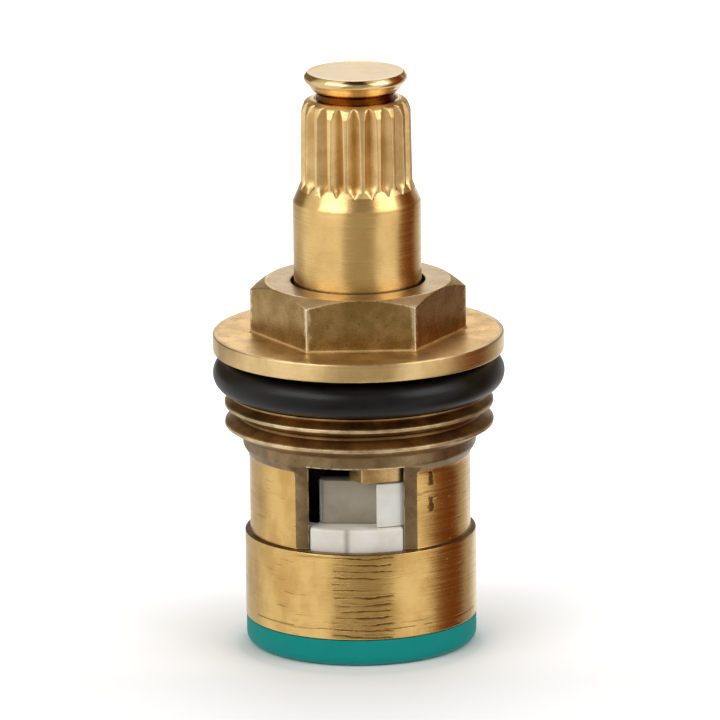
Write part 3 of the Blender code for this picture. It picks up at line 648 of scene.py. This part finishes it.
# A darker copy of the ceramic for the notch's faces: painted shade in the groove.
NOTCH_SHADE_CERAMIC = ground_ceramic("notch_shade_ceramic", (0.62, 0.58, 0.50), (0.52, 0.48, 0.40))
# Painted shade: a darker copy of the ceramic for the hub's flats, set back in the window.
HUB_SHADE_CERAMIC = ground_ceramic("hub_shade_ceramic", (0.41, 0.36, 0.27), (0.30, 0.26, 0.20))
ACETAL = moulded_plastic("acetal")


# The bonnet

def hexagon_radius(angles):
    """Distance from the axis to the hexagon, its corners rounded."""
    corner_round = 0.16
    turn = angles - HEX_CORNER
    beta = np.mod(turn + math.pi / 6, math.pi / 3) - math.pi / 6
    flat = HEX_APOTHEM / np.cos(math.pi / 6 - np.abs(beta))
    centre = (HEX_APOTHEM - corner_round) / math.cos(math.pi / 6)
    inside = np.maximum(corner_round**2 - (centre * np.sin(beta)) ** 2, 0)
    round_off = centre * np.cos(beta) + np.sqrt(inside)
    aside = corner_round * math.sin(math.pi / 6)
    outward = centre + corner_round * math.cos(math.pi / 6)
    return np.where(np.abs(beta) < math.atan2(aside, outward), round_off, flat)


def soft_least(first, second, blend):
    """The smaller of two values, blended where they meet."""
    first, second = np.broadcast_arrays(first, second)
    least = np.minimum(first, second)
    return least - blend * np.log(np.exp((least - first) / blend) + np.exp((least - second) / blend))


def thread_outline():
    """The two ridges of the mounting thread and the groove's rim above them, from the top down."""
    root_fillet, crest_fillet = 0.12, 0.05
    flank = (THREAD_RADIUS - THREAD_ROOT) * math.tan(math.radians(30))
    outline = [
        (GROOVE_RIM - 0.3, GROOVE_BOTTOM),
        (GROOVE_RIM, GROOVE_BOTTOM, crest_fillet),
        (GROOVE_RIM, THREAD_TOP, crest_fillet),
    ]
    for ridge in (1, 0):
        middle = THREAD_BOTTOM + (ridge + 0.5) * THREAD_PITCH
        upper = middle + THREAD_HALF_CREST
        lower = middle - THREAD_HALF_CREST
        outline += [
            (THREAD_ROOT, upper + flank, root_fillet),
            (THREAD_RADIUS, upper, crest_fillet),
            (THREAD_RADIUS, lower, crest_fillet),
            (THREAD_ROOT, lower - flank, root_fillet),
        ]
    outline += [(THREAD_ROOT, THREAD_BOTTOM, 0.04), (RELIEF_RADIUS + 0.2, THREAD_BOTTOM)]
    return even(filleted(outline), 0.3)


def worn(angles, depth):
    """A small uneven loss all round, as on an edge that was handled."""
    waves = (3, 7, 13, 29, 47, 71)
    total = sum(np.sin(k * angles + k * k) / math.sqrt(k) for k in waves)
    return depth * (0.5 + 0.5 * np.tanh(total))


def bonnet_angles():
    """Even angles, with more of them at the hexagon's corners."""
    columns, closest = 300, math.radians(0.12)
    beside_corner = (-1.3, -0.75, -0.45, -0.2, 0, 0.2, 0.45, 0.75, 1.3)
    angles = list(np.linspace(0, TAU, columns, endpoint=False))
    for corner in range(6):
        middle = HEX_CORNER + corner * math.pi / 3
        for step in beside_corner:
            angles.append((middle + math.radians(step)) % TAU)
    angles = np.unique(np.round(angles, 6))
    keep = [0]
    for index in range(1, len(angles)):
        if angles[index] - angles[keep[-1]] > closest:
            keep.append(index)
    return angles[keep]


def bonnet():
    """The bonnet as one turned shape with the hexagon drawn into it, then the windows and keyways cut."""
    angles = bonnet_angles()
    hexagon = hexagon_radius(angles)
    rows = []
    slots = []

    def add(ring, slot):
        rows.append(ring)
        slots.append(slot)

    turned, flange, hexed, threaded, inner, faced, relieved, ledge, step_shade, chamfer_highlight = range(10)
    for share in (0.0, 0.03, 0.25, 0.5, 0.75, 0.93):
        radius = MOUTH_RADIUS + (HEX_CHAMFER_START - MOUTH_RADIUS) * share
        add(points_round(radius, HEX_TOP - (0.02 if share == 0 else 0), angles), faced)
    slope = math.tan(math.radians(30))
    foot = HEX_TOP - FLANGE_TOP - HEX_FOOT_FILLET
    for drop in np.concatenate([np.linspace(0, 0.72, 25), np.linspace(0.85, foot, 9)]):
        cone = HEX_CHAMFER_START + drop / slope
        add(points_round(soft_least(hexagon, cone, 0.02), HEX_TOP - drop, angles), hexed)
    for turn in (0.33, 0.66, 1.0):
        out = HEX_FOOT_FILLET * (1 - math.cos(turn * math.pi / 2))
        up = HEX_FOOT_FILLET * (1 - math.sin(turn * math.pi / 2))
        add(points_round(hexagon + out, FLANGE_TOP + up, angles), ledge)
    base = hexagon + HEX_FOOT_FILLET
    for share in (0.2, 0.45, 0.7, 0.93):
        add(points_round(base + (FLANGE_RADIUS - 0.15 - base) * share, FLANGE_TOP, angles), ledge)
    rim = filleted(
        [
            (FLANGE_RADIUS - 0.3, FLANGE_TOP),
            (FLANGE_RADIUS, FLANGE_TOP, 0.12),
            (FLANGE_RADIUS, FLANGE_BOTTOM, 0.15),
            (FLANGE_RADIUS - 0.4, FLANGE_BOTTOM),
        ]
    )
    for radius, height in even(rim, 0.35):
        add(points_round(radius, height, angles), flange)
    groove = filleted(
        [
            (FLANGE_RADIUS - 0.5, FLANGE_BOTTOM),
            (GROOVE_RADIUS, FLANGE_BOTTOM, 0.2),
            (GROOVE_RADIUS, GROOVE_BOTTOM, 0.2),
            (GROOVE_RIM - 0.4, GROOVE_BOTTOM),
        ]
    )
    for radius, height in even(groove, 0.8):
        add(points_round(radius, height, angles), threaded)
    for radius, height in thread_outline():
        wear = worn(angles + height, 0.03) if radius > THREAD_RADIUS - 0.1 else 0
        add(points_round(radius - wear, height, angles), threaded)
    relief = filleted(
        [
            (RELIEF_RADIUS + 0.1, THREAD_BOTTOM),
            (RELIEF_RADIUS, THREAD_BOTTOM, 0.1),
            (RELIEF_RADIUS, RELIEF_BOTTOM, 0.5),
            (CAGE_RADIUS, CAGE_TOP, 0.5),
            (CAGE_RADIUS, CAGE_TOP - 0.82),
        ],
        steps=6,
    )
    for radius, height in relief[:-5]:
        add(points_round(radius, height, angles), relieved)
    cage = filleted(
        [
            (CAGE_RADIUS, CAGE_TOP - 0.42),
            (CAGE_RADIUS, BAND_TOP + 0.12, 0.05),
            (BAND_RADIUS, BAND_TOP, 0.06),
            (BAND_RADIUS, BODY_BOTTOM, 0.1),
            (CAGE_BORE, BODY_BOTTOM, 0.08),
            (CAGE_BORE, BODY_BOTTOM + 1.0),
        ]
    )
    for radius, height in even(cage[:-6], 0.6):
        # The step from the cage out to the band gets painted shade.
        stepped = CAGE_RADIUS + 0.02 < radius < BAND_RADIUS - 0.02 and height > BAND_TOP - 0.5
        add(points_round(radius, height, angles), step_shade if stepped else turned)
    bore = filleted(
        [
            (CAGE_BORE + 0.2, BODY_BOTTOM),
            (CAGE_BORE, BODY_BOTTOM, 0.08),
            (CAGE_BORE, INNER_SHOULDER),
            (BORE_RADIUS, INNER_SHOULDER),
            (BORE_RADIUS, HEX_TOP - 0.35),
            (5.0, HEX_TOP - 0.04),
        ]
    )
    for radius, height in even(bore, 1.6):
        add(points_round(radius, height, angles), inner)
    verts, faces, owners = ring_rows(rows, True)
    finishes = [
        BAND_BRASS, FLANGE_BRASS, HEX_BRASS, THREAD_BRASS, CAVITY_SHADE, FACED_BRASS, RELIEF_BRASS,
        LEDGE_BRASS, STEP_SHADE_BRASS, CHAMFER_HIGHLIGHT_BRASS,
    ]
    indices = [slots[(row + 1) % len(slots)] for row in owners]
    body = mesh_object("bonnet", verts, faces, finishes, indices)
    # Up-facing chamfer faces take the lighter brass: painted highlight.
    for face in body.data.polygons:
        if face.material_index == hexed and face.normal.z > 0.5:
            face.material_index = chamfer_highlight
    for side in (1, -1):
        combine(body, window_tool(side, finishes, relieved), "DIFFERENCE")
    half = KEYWAY_HALF_WIDTH
    reach = math.asin(half / KEYWAY_RADIUS)
    key = arc(KEYWAY_RADIUS, FRONT - reach, FRONT + reach, 12) + [(half, -6.0), (-half, -6.0)]
    keys = prism("keys", [key, opposite(key)], BODY_BOTTOM - 1.05, KEYWAY_TOP, finishes, inner)
    combine(body, keys, "DIFFERENCE")
    shade(body)
    return body


def window_tool(side, finishes, slot):
    """The cutter of one window, its inner corners rounded."""
    clear = 12.0
    outline = filleted(
        [
            (clear, WINDOW_TOP),
            (WINDOW_FLAT, WINDOW_TOP, 0.3),
            (WINDOW_FLAT, WINDOW_BOTTOM, 0.12),
            (clear, WINDOW_BOTTOM),
        ],
        steps=5,
    )
    verts = [(x, -side * y, z) for x in (-clear, clear) for y, z in outline]
    count = len(outline)
    faces = [tuple(range(count)), tuple(reversed(range(count, 2 * count)))]
    for index in range(count):
        after = (index + 1) % count
        faces.append((index, count + index, count + after, after))
    return mesh_object("window", verts, faces, finishes, [slot] * len(faces))


# The spindle

def turned_bar(half_length, half_width):
    """The outline of the bar that keys the spindle to the moving disc."""
    turn = Matrix.Rotation(SLOT_TURN, 2)
    x, y = half_length, half_width
    return [tuple(turn @ Vector(corner)) for corner in ((-x, -y), (x, -y), (x, y), (-x, y))]


def spline_radius(angles, height, envelope):
    """Twenty V grooves cut into a turned shape, run out at their lower ends."""
    into_run_out = max(0.0, (SPLINE_TIP + SPLINE_RUN_OUT - height) / SPLINE_RUN_OUT)
    apex = SPLINE_ROOT + into_run_out * SPLINE_RUN_OUT_DEPTH
    pitch = TAU / SPLINE_TEETH
    off = np.abs(np.mod(angles - FRONT + pitch / 2, pitch) - pitch / 2)
    groove = apex / (np.cos(off) - np.sin(off) / math.tan(SPLINE_HALF_ANGLE))
    groove = np.where(groove > 0, groove, np.inf)
    return soft_least(groove, envelope, 0.012)


def spindle():
    """The spindle as one stack of rings from its button down, with the lugs, tongue and stop notch."""
    pitch = TAU / SPLINE_TEETH
    steps = np.radians([0, 0.5, 1.3, 2.6, 4.2, 5.6, 6.3, 6.8, 7.3, 8.1])
    around = np.concatenate([-steps[1:][::-1], steps, [pitch / 2]])
    angles = np.concatenate([FRONT + tooth * pitch + around for tooth in range(SPLINE_TEETH)])
    rows = []
    slots = []
    stem_slot, inner_slot, spline_slot, neck_shade_slot, drive_slot, button_slot = range(6)

    def add(ring, slot):
        rows.append(ring)
        slots.append(slot)

    # The neck rows take the dark brass: painted shade with tarnish.
    for profile, slot in ((BUTTON, button_slot), (NECK[:-1], neck_shade_slot), (NECK[-1:], button_slot)):
        for radius, height in profile:
            add(points_round(radius, height, angles), slot)
    shoulder = even(filleted(SHOULDER, 6), 0.06)[1:-1]
    cone_end = (SHAFT_RADIUS - 0.02, SHAFT_TOP + 0.08)
    for radius, height in shoulder + even([SPLINE_TOP, SPLINE_FOOT], 0.35)[:-1]:
        add(points_round(spline_radius(angles, height, radius), height, angles), spline_slot)
    for radius, height in even([SPLINE_FOOT, cone_end], 0.045):
        ring = points_round(spline_radius(angles, height, radius), height, angles)
        add(ring, spline_slot if height > SPLINE_TIP + 0.1 else stem_slot)
    shaft = [(SHAFT_RADIUS, SHAFT_TOP)]
    for upper, lower in RING_GROOVES:
        shaft += [(SHAFT_RADIUS, upper), (RING_GROOVE_RADIUS, upper)]
        shaft += [(RING_GROOVE_RADIUS, lower), (SHAFT_RADIUS, lower)]
    shaft += [(SHAFT_RADIUS, DRIVE_TOP), (DRIVE_RADIUS, DRIVE_TOP), (DRIVE_RADIUS, DRIVE_BOTTOM)]
    shaft += [(STUD_RADIUS, DRIVE_BOTTOM), (STUD_RADIUS, STUD_BOTTOM), (0.3, STUD_BOTTOM)]
    for radius, height in even(shaft, 2.0):
        add(points_round(radius, height, angles), stem_slot if height > 24 else inner_slot)
    verts, faces, owners = ring_rows(rows, False)
    finishes = [STEM_BRASS, CAVITY_SHADE, SPLINE_BRASS, NECK_SHADE_BRASS, DRIVE_BRASS, BUTTON_BRASS]
    stem = mesh_object("spindle_stem", verts, faces, finishes, [slots[row] for row in owners])
    lug_start, lug_end, cut_end = (math.radians(angle) for angle in (-95.5, 8, -86.5))
    lug = arc(LUG_RADIUS, cut_end, lug_end, 40) + arc(1.3, lug_end, lug_start, 8)
    lug.append((LUG_CHAMFER * math.cos(lug_start), LUG_CHAMFER * math.sin(lug_start)))
    lugs = prism("lugs", [lug, opposite(lug)], LUG_BOTTOM, DRIVE_BOTTOM + 0.7, finishes, drive_slot)
    soften(lugs, 0.12)
    combine(stem, lugs, "UNION")
    tongue = prism("tongue", [turned_bar(5.2, 1.4)], 12.4, 14.85, finishes, drive_slot)
    combine(stem, tongue, "UNION")
    notch_start, notch_end = math.radians(74.4), math.radians(195.6)
    notch = arc(8.5, notch_start, notch_end, 40) + arc(6.5, notch_end, notch_start, 40)
    stop = prism("notch", [notch], DRIVE_BOTTOM - 0.05, DRIVE_TOP + 0.5, finishes, inner_slot)
    combine(stem, stop, "DIFFERENCE")
    shade(stem)
    return stem


# Discs, rings and seal

def moving_disc():
    """The upper disc: a hub with two flats and two wings, with the slot for the spindle's tongue."""
    reach = math.asin(WING / DISC_RADIUS)
    half = arc(DISC_RADIUS, FRONT + reach, reach, 60)
    half.append((HUB_WAIST, WING))
    half += arc(HUB_ROUNDING, 0, math.pi / 2, 8, (HUB_CORNER - HUB_ROUNDING, HUB_FLAT - HUB_ROUNDING))
    half.append((-WING, HUB_FLAT))
    finishes = [CERAMIC, HUB_SHADE_CERAMIC]
    disc = prism("moving_ceramic_disc", [half + opposite(half)], DISC_SPLIT[1], DISC_TOP, finishes)
    combine(disc, prism("slot", [turned_bar(5.28, 1.48)], 12.3, DISC_TOP + 0.95, finishes), "DIFFERENCE")
    soften(disc, DISC_EDGE)
    # The hub's flats take the darker ceramic: painted shade.
    for face in disc.data.polygons:
        x, y, _ = face.center / MM
        if abs(y) > HUB_FLAT - 0.15 and -math.copysign(x, x * y) < WING - 0.03:
            face.material_index = 1
    shade(disc, 35)
    return disc


def fixed_disc():
    """The lower disc with its two ears, its two ports and the notch in its front ear."""
    reach = math.asin(EAR_HALF_WIDTH / EAR_RADIUS)
    join = math.asin(EAR_HALF_WIDTH / DISC_RADIUS)
    half = arc(EAR_RADIUS, FRONT - reach, FRONT + reach, 16)
    half += arc(DISC_RADIUS, FRONT + join, math.pi / 2 - join, 60)
    finishes = [FIXED_DISC_SHADE_CERAMIC, NOTCH_SHADE_CERAMIC]
    disc = prism("fixed_ceramic_disc", [half + opposite(half)], DISC_BOTTOM, DISC_SPLIT[0], finishes)
    soften(disc, DISC_EDGE)
    side = Vector((HUB_CORNER - HUB_WAIST, HUB_FLAT - WING)).normalized()
    inner = Vector((HUB_WAIST + 0.15, WING)) + side * (PORT_WALL / side.y)
    along = inner.dot(side)
    outer = inner + side * (-along + math.sqrt(along * along - inner.length_squared + PORT_RADIUS**2))
    port = [tuple(inner)]
    port += arc(PORT_RADIUS, math.asin(inner.y / PORT_RADIUS), math.atan2(outer.y, outer.x), 24)
    below, above = DISC_BOTTOM - 1.0, DISC_SPLIT[0] + 0.75
    combine(disc, prism("ports", [port, opposite(port)], below, above, finishes), "DIFFERENCE")
    # The notch's faces take the darker ceramic: painted shade in the groove.
    mark = [(-0.89, -7.86), (-0.45, -7.86), (-0.67, -7.70)]
    combine(disc, prism("mark", [mark], below, above, finishes, 1), "DIFFERENCE")
    shade(disc, 35)
    return disc


def flange_ring():
    """The rubber ring, a little uneven."""
    angles = np.linspace(0, TAU, 240, endpoint=False)
    rows = []
    for turn in np.linspace(0, TAU, 48, endpoint=False):
        section = RING_SECTION - 0.012 * (0.5 + 0.5 * np.sin(3 * angles + 1.0))
        radius = RING_RADIUS + section * math.cos(turn)
        height = RING_HEIGHT + section * math.sin(turn)
        rows.append(points_round(radius, height, angles))
    verts, faces, _ = ring_rows(rows, True)
    return mesh_object("flange_rubber_ring", verts, faces, [BLACK_RUBBER])


def seal():
    """The inlet seal: a thick ring below and a neck inside the cage."""
    start = (SEAL_HOLE, 3.0)
    outline = filleted(
        [
            start,
            (SEAL_HOLE, 0.0, 0.2),
            (SEAL_RADIUS, 0.0, 0.75),
            (SEAL_RADIUS, SEAL_LEDGE, 0.1),
            (SEAL_NECK, SEAL_LEDGE, 0.05),
            (SEAL_NECK, SEAL_TOP, 0.2),
            (SEAL_HOLE, SEAL_TOP, 0.1),
            start,
        ],
        steps=6,
    )
    return lathe("seal_rubber_ring", even(outline[:-1], 1.2), TEAL_RUBBER)


PIECES = (
    (bonnet, "bonnet", "valve_body", "bonnet_brass"),
    (flange_ring, "bonnet", "flange_o_ring", "black_rubber"),
    (fixed_disc, "bonnet", "fixed_disc", "ceramic"),
    (seal, "bonnet", "inlet_seal", "teal_rubber"),
    (spindle, "spindle", "spindle", "spindle_brass"),
    (moving_disc, "spindle", "moving_disc", "ceramic"),
)
for make, body_name, node_name, slot_name in PIECES:
    piece = make()
    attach(piece, body_name)
    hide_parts(node_name)

KEPT = (
    ("spindle_o_ring_upper", BLACK_RUBBER),
    ("spindle_o_ring_lower", BLACK_RUBBER),
    ("friction_washer", ACETAL),
    ("seal_support_ring", ACETAL),
)
for node_name, surface in KEPT:
    for material_slot in frame["nodes"][node_name].material_slots:
        material_slot.material = surface


# Stage, light and camera

TARGET = Vector((0, 0, 21.26 * MM))
VIEW = (2.5, 13.88)
VIEW_DISTANCE = 0.697
VIEW_ROLL = math.radians(-0.658)
LENS_MM = 469.5
SENSOR_MM = 36.0
LENS_SHIFT = 0.0018
AMBIENT = 0.42
FLOOR_RADIUS = 3.0
FLOOR_DROP = 0.02
# The floor's glow fades out near the object: a painted contact shadow.
FLOOR_GLOW = 0.32
GLOW_BEHIND = 1.8
GLOW_TURN = -12.0
GLOW_START = 9.0
GLOW_SHIFT = 1.5
GLOW_FULL = 32.0
LIGHT_DISTANCE = 0.75
SOFTBOXES = (
    ("left_softbox", (-47.5, 36), (0.62, 0.42), 2.8),
    ("right_softbox", (64, 36), (0.50, 0.42), 2.7),
    ("back_softbox", (180, 42), (0.40, 0.30), 2.4),
)

# What the metal mirrors: panels and cards by azimuth in degrees, their heights in metres
SCREEN_RADIUS = 1.6
SCREEN_BOTTOM = -1.6
SCREEN_TOP = 12.0
SCREEN_COLUMNS = 96
WHITE = (1.0, 1.0, 1.0)
GREY = (0.47, 0.43, 0.37)
GOLD = (0.29, 0.15, 0.055)
BROWN = (0.18, 0.058, 0.018)
PANELS = (
    (-180, WHITE),
    (-150, (0.66, 0.65, 0.63)),
    (-125, (0.66, 0.65, 0.62)),
    (-105, WHITE),
    (-29, WHITE),
    (-22, GREY),
    (32, GREY),
    (37, WHITE),
    (74, WHITE),
    (84, GOLD),
    (104, BROWN),
    (122, BROWN),
    (129, (0.40, 0.35, 0.29)),
    (140, (0.52, 0.49, 0.45)),
    (160, WHITE),
)
LEAN = 14.0
LEAN_FOOT = -0.395
LEAN_TOP = 1.8
CARDS = (
    ((0.03, 0.02, 0.012), -42, 40, 1.3, 3),
    ((0.24, 0.19, 0.14), 146, 178, 0.0, 2),
    ((0.22, 0.165, 0.10), -166, -113, -0.2, 4),
)


def any_seen(tree):
    """1 for rays from the camera and for what metal and glass show, else 0."""
    path = tree.nodes.new("ShaderNodeLightPath")
    total = path.outputs["Is Camera Ray"]
    for name in ("Is Glossy Ray", "Is Transmission Ray"):
        node = tree.nodes.new("ShaderNodeMath")
        node.operation = "ADD"
        node.use_clamp = True
        tree.links.new(total, node.inputs[0])
        tree.links.new(path.outputs[name], node.inputs[1])
        total = node.outputs[0]
    return total


def world():
    """White where it is seen or mirrored, and dimmer as a light."""
    made = bpy.data.worlds.new("studio")
    bpy.context.scene.world = made
    made.use_nodes = True
    tree = made.node_tree
    background = tree.nodes["Background"]
    background.inputs["Color"].default_value = (1, 1, 1, 1)
    strength = tree.nodes.new("ShaderNodeMapRange")
    tree.links.new(any_seen(tree), strength.inputs["Value"])
    strength.inputs["To Min"].default_value = AMBIENT
    strength.inputs["To Max"].default_value = 1.0
    tree.links.new(strength.outputs["Result"], background.inputs["Strength"])


def floor():
    """Pale paper, which glows white away from the object and keeps its shadow. The glow fades out close to
    the object, deeper in front than behind, which paints a darker contact shadow round its base.
    """
    bpy.ops.mesh.primitive_circle_add(
        vertices=96, radius=FLOOR_RADIUS, fill_type="NGON", location=(0, 0, -FLOOR_DROP * MM)
    )
    item = bpy.context.object
    item.name = "floor"
    made = bpy.data.materials.new("pale_floor")
    made.use_nodes = True
    tree = made.node_tree
    paper = tree.nodes["Principled BSDF"]
    paper.inputs["Base Color"].default_value = (0.86, 0.86, 0.85, 1)
    paper.inputs["Roughness"].default_value = 0.9
    paper.inputs["Specular IOR Level"].default_value = 0.1
    glow = tree.nodes.new("ShaderNodeEmission")
    both = tree.nodes.new("ShaderNodeAddShader")
    place = tree.nodes.new("ShaderNodeTexCoord")
    shifted = tree.nodes.new("ShaderNodeVectorMath")
    shifted.operation = "ADD"
    shifted.inputs[1].default_value = (0, GLOW_SHIFT * MM, 0)
    tree.links.new(place.outputs["Object"], shifted.inputs[0])
    reach = tree.nodes.new("ShaderNodeVectorMath")
    reach.operation = "LENGTH"
    tree.links.new(shifted.outputs["Vector"], reach.inputs[0])
    fade = tree.nodes.new("ShaderNodeMapRange")
    tree.links.new(reach.outputs["Value"], fade.inputs["Value"])
    fade.inputs["From Min"].default_value = GLOW_START * MM
    fade.inputs["From Max"].default_value = GLOW_FULL * MM
    curve = tree.nodes.new("ShaderNodeMath")
    curve.operation = "SQRT"
    tree.links.new(fade.outputs["Result"], curve.inputs[0])
    share = tree.nodes.new("ShaderNodeMath")
    share.operation = "MULTIPLY"
    tree.links.new(any_seen(tree), share.inputs[0])
    tree.links.new(curve.outputs[0], share.inputs[1])
    split = tree.nodes.new("ShaderNodeSeparateXYZ")
    tree.links.new(place.outputs["Object"], split.inputs[0])
    behind = tree.nodes.new("ShaderNodeMapRange")
    tree.links.new(split.outputs["Y"], behind.inputs["Value"])
    behind.inputs["From Min"].default_value = GLOW_TURN * MM
    behind.inputs["From Max"].default_value = 0.0
    behind.inputs["To Min"].default_value = FLOOR_GLOW
    behind.inputs["To Max"].default_value = FLOOR_GLOW * GLOW_BEHIND
    level = tree.nodes.new("ShaderNodeMath")
    level.operation = "MULTIPLY"
    tree.links.new(share.outputs[0], level.inputs[0])
    tree.links.new(behind.outputs["Result"], level.inputs[1])
    tree.links.new(level.outputs[0], glow.inputs["Strength"])
    tree.links.new(paper.outputs[0], both.inputs[0])
    tree.links.new(glow.outputs[0], both.inputs[1])
    tree.links.new(both.outputs[0], tree.nodes["Material Output"].inputs["Surface"])
    item.data.materials.append(made)
    item.visible_glossy = False


def direction(azimuth, elevation):
    """From the object, azimuth 0 towards the front and 90 towards +X, in degrees."""
    a, e = math.radians(azimuth), math.radians(elevation)
    return Vector((math.sin(a) * math.cos(e), -math.cos(a) * math.cos(e), math.sin(e)))


def softbox(name, place, size, radiance):
    """A rectangular light that faces the object and gives the stated radiance."""
    width, height = size
    light = bpy.data.lights.new(name, "AREA")
    light.shape = "RECTANGLE"
    light.size = width
    light.size_y = height
    light.energy = radiance * math.pi * width * height
    item = bpy.data.objects.new(name, light)
    bpy.context.scene.collection.objects.link(item)
    toward = direction(*place)
    item.location = TARGET + toward * LIGHT_DISTANCE
    item.rotation_mode = "QUATERNION"
    item.rotation_quaternion = toward.to_track_quat("Z", "Y")
    item.visible_camera = False


def reflection_screen():
    """Leaning panels all round, which only the metal mirrors, and darker cards hung before them."""
    verts = []
    faces = []
    for column in range(SCREEN_COLUMNS):
        angle = TAU * column / SCREEN_COLUMNS
        x, y = SCREEN_RADIUS * math.cos(angle), SCREEN_RADIUS * math.sin(angle)
        verts += [(x, y, SCREEN_BOTTOM), (x, y, SCREEN_TOP)]
        after = (column + 1) % SCREEN_COLUMNS
        faces.append((2 * column, 2 * after, 2 * after + 1, 2 * column + 1))
    mesh = bpy.data.meshes.new("reflection_screen")
    mesh.from_pydata(verts, [], faces)
    item = bpy.data.objects.new("reflection_screen", mesh)
    bpy.context.scene.collection.objects.link(item)
    s = Shader("screen_panels", (0, 0, 0))
    s.surface.inputs["Specular IOR Level"].default_value = 0.0
    s.surface.inputs["Emission Strength"].default_value = 1.0
    height = s.math("MULTIPLY", s.along("Z"), MM)
    azimuth = s.math("ARCTAN2", s.along("X"), s.math("MULTIPLY", s.along("Y"), -1.0))
    azimuth = s.math("MULTIPLY", azimuth, math.degrees(1))
    leaning = s.math("SUBTRACT", s.math("MINIMUM", height, LEAN_TOP), LEAN_FOOT)
    leaning = s.math("MULTIPLY", leaning, LEAN)
    share = s.math("DIVIDE", s.math("ADD", s.math("SUBTRACT", azimuth, leaning), 180.0), 360.0)
    ramp = s.tree.nodes.new("ShaderNodeValToRGB")
    s.link(share, ramp.inputs["Fac"])
    elements = ramp.color_ramp.elements
    elements.remove(elements[-1])
    for index, (stop, colour) in enumerate(PANELS):
        spot = (stop + 180) / 360
        element = elements[0] if index == 0 else elements.new(spot)
        element.position = spot
        element.color = (*colour, 1)
    shown = ramp.outputs["Color"]
    for colour, left, right, bottom, edge in CARDS:
        card = s.span(azimuth, left - edge, left + edge)
        card = s.math("MULTIPLY", card, s.span(azimuth, right - edge, right + edge, 1.0, 0.0))
        card = s.math("MULTIPLY", card, s.span(height, bottom, bottom + 0.3))
        shown = s.mix(card, shown, colour)
    s.link(shown, s.surface.inputs["Emission Color"])
    mesh.materials.append(s.material)
    item.visible_camera = False
    item.visible_diffuse = False
    item.visible_shadow = False
    item.visible_transmission = False


def camera():
    """The photograph's camera, fitted to the ellipses of the flange, band, collar and button."""
    data = bpy.data.cameras.new("camera")
    data.lens = LENS_MM
    data.sensor_width = SENSOR_MM
    data.shift_x = LENS_SHIFT
    data.clip_start = 0.05
    data.clip_end = 10.0
    item = bpy.data.objects.new("camera", data)
    bpy.context.scene.collection.objects.link(item)
    back = direction(*VIEW)
    item.location = TARGET + back * VIEW_DISTANCE
    item.rotation_mode = "QUATERNION"
    roll = Quaternion((0, 0, 1), VIEW_ROLL)
    item.rotation_quaternion = (-back).to_track_quat("-Z", "Y") @ roll
    bpy.context.scene.camera = item


world()
floor()
reflection_screen()
for softbox_row in SOFTBOXES:
    softbox(*softbox_row)
camera()
bpy.context.scene.view_settings.view_transform = "Standard"
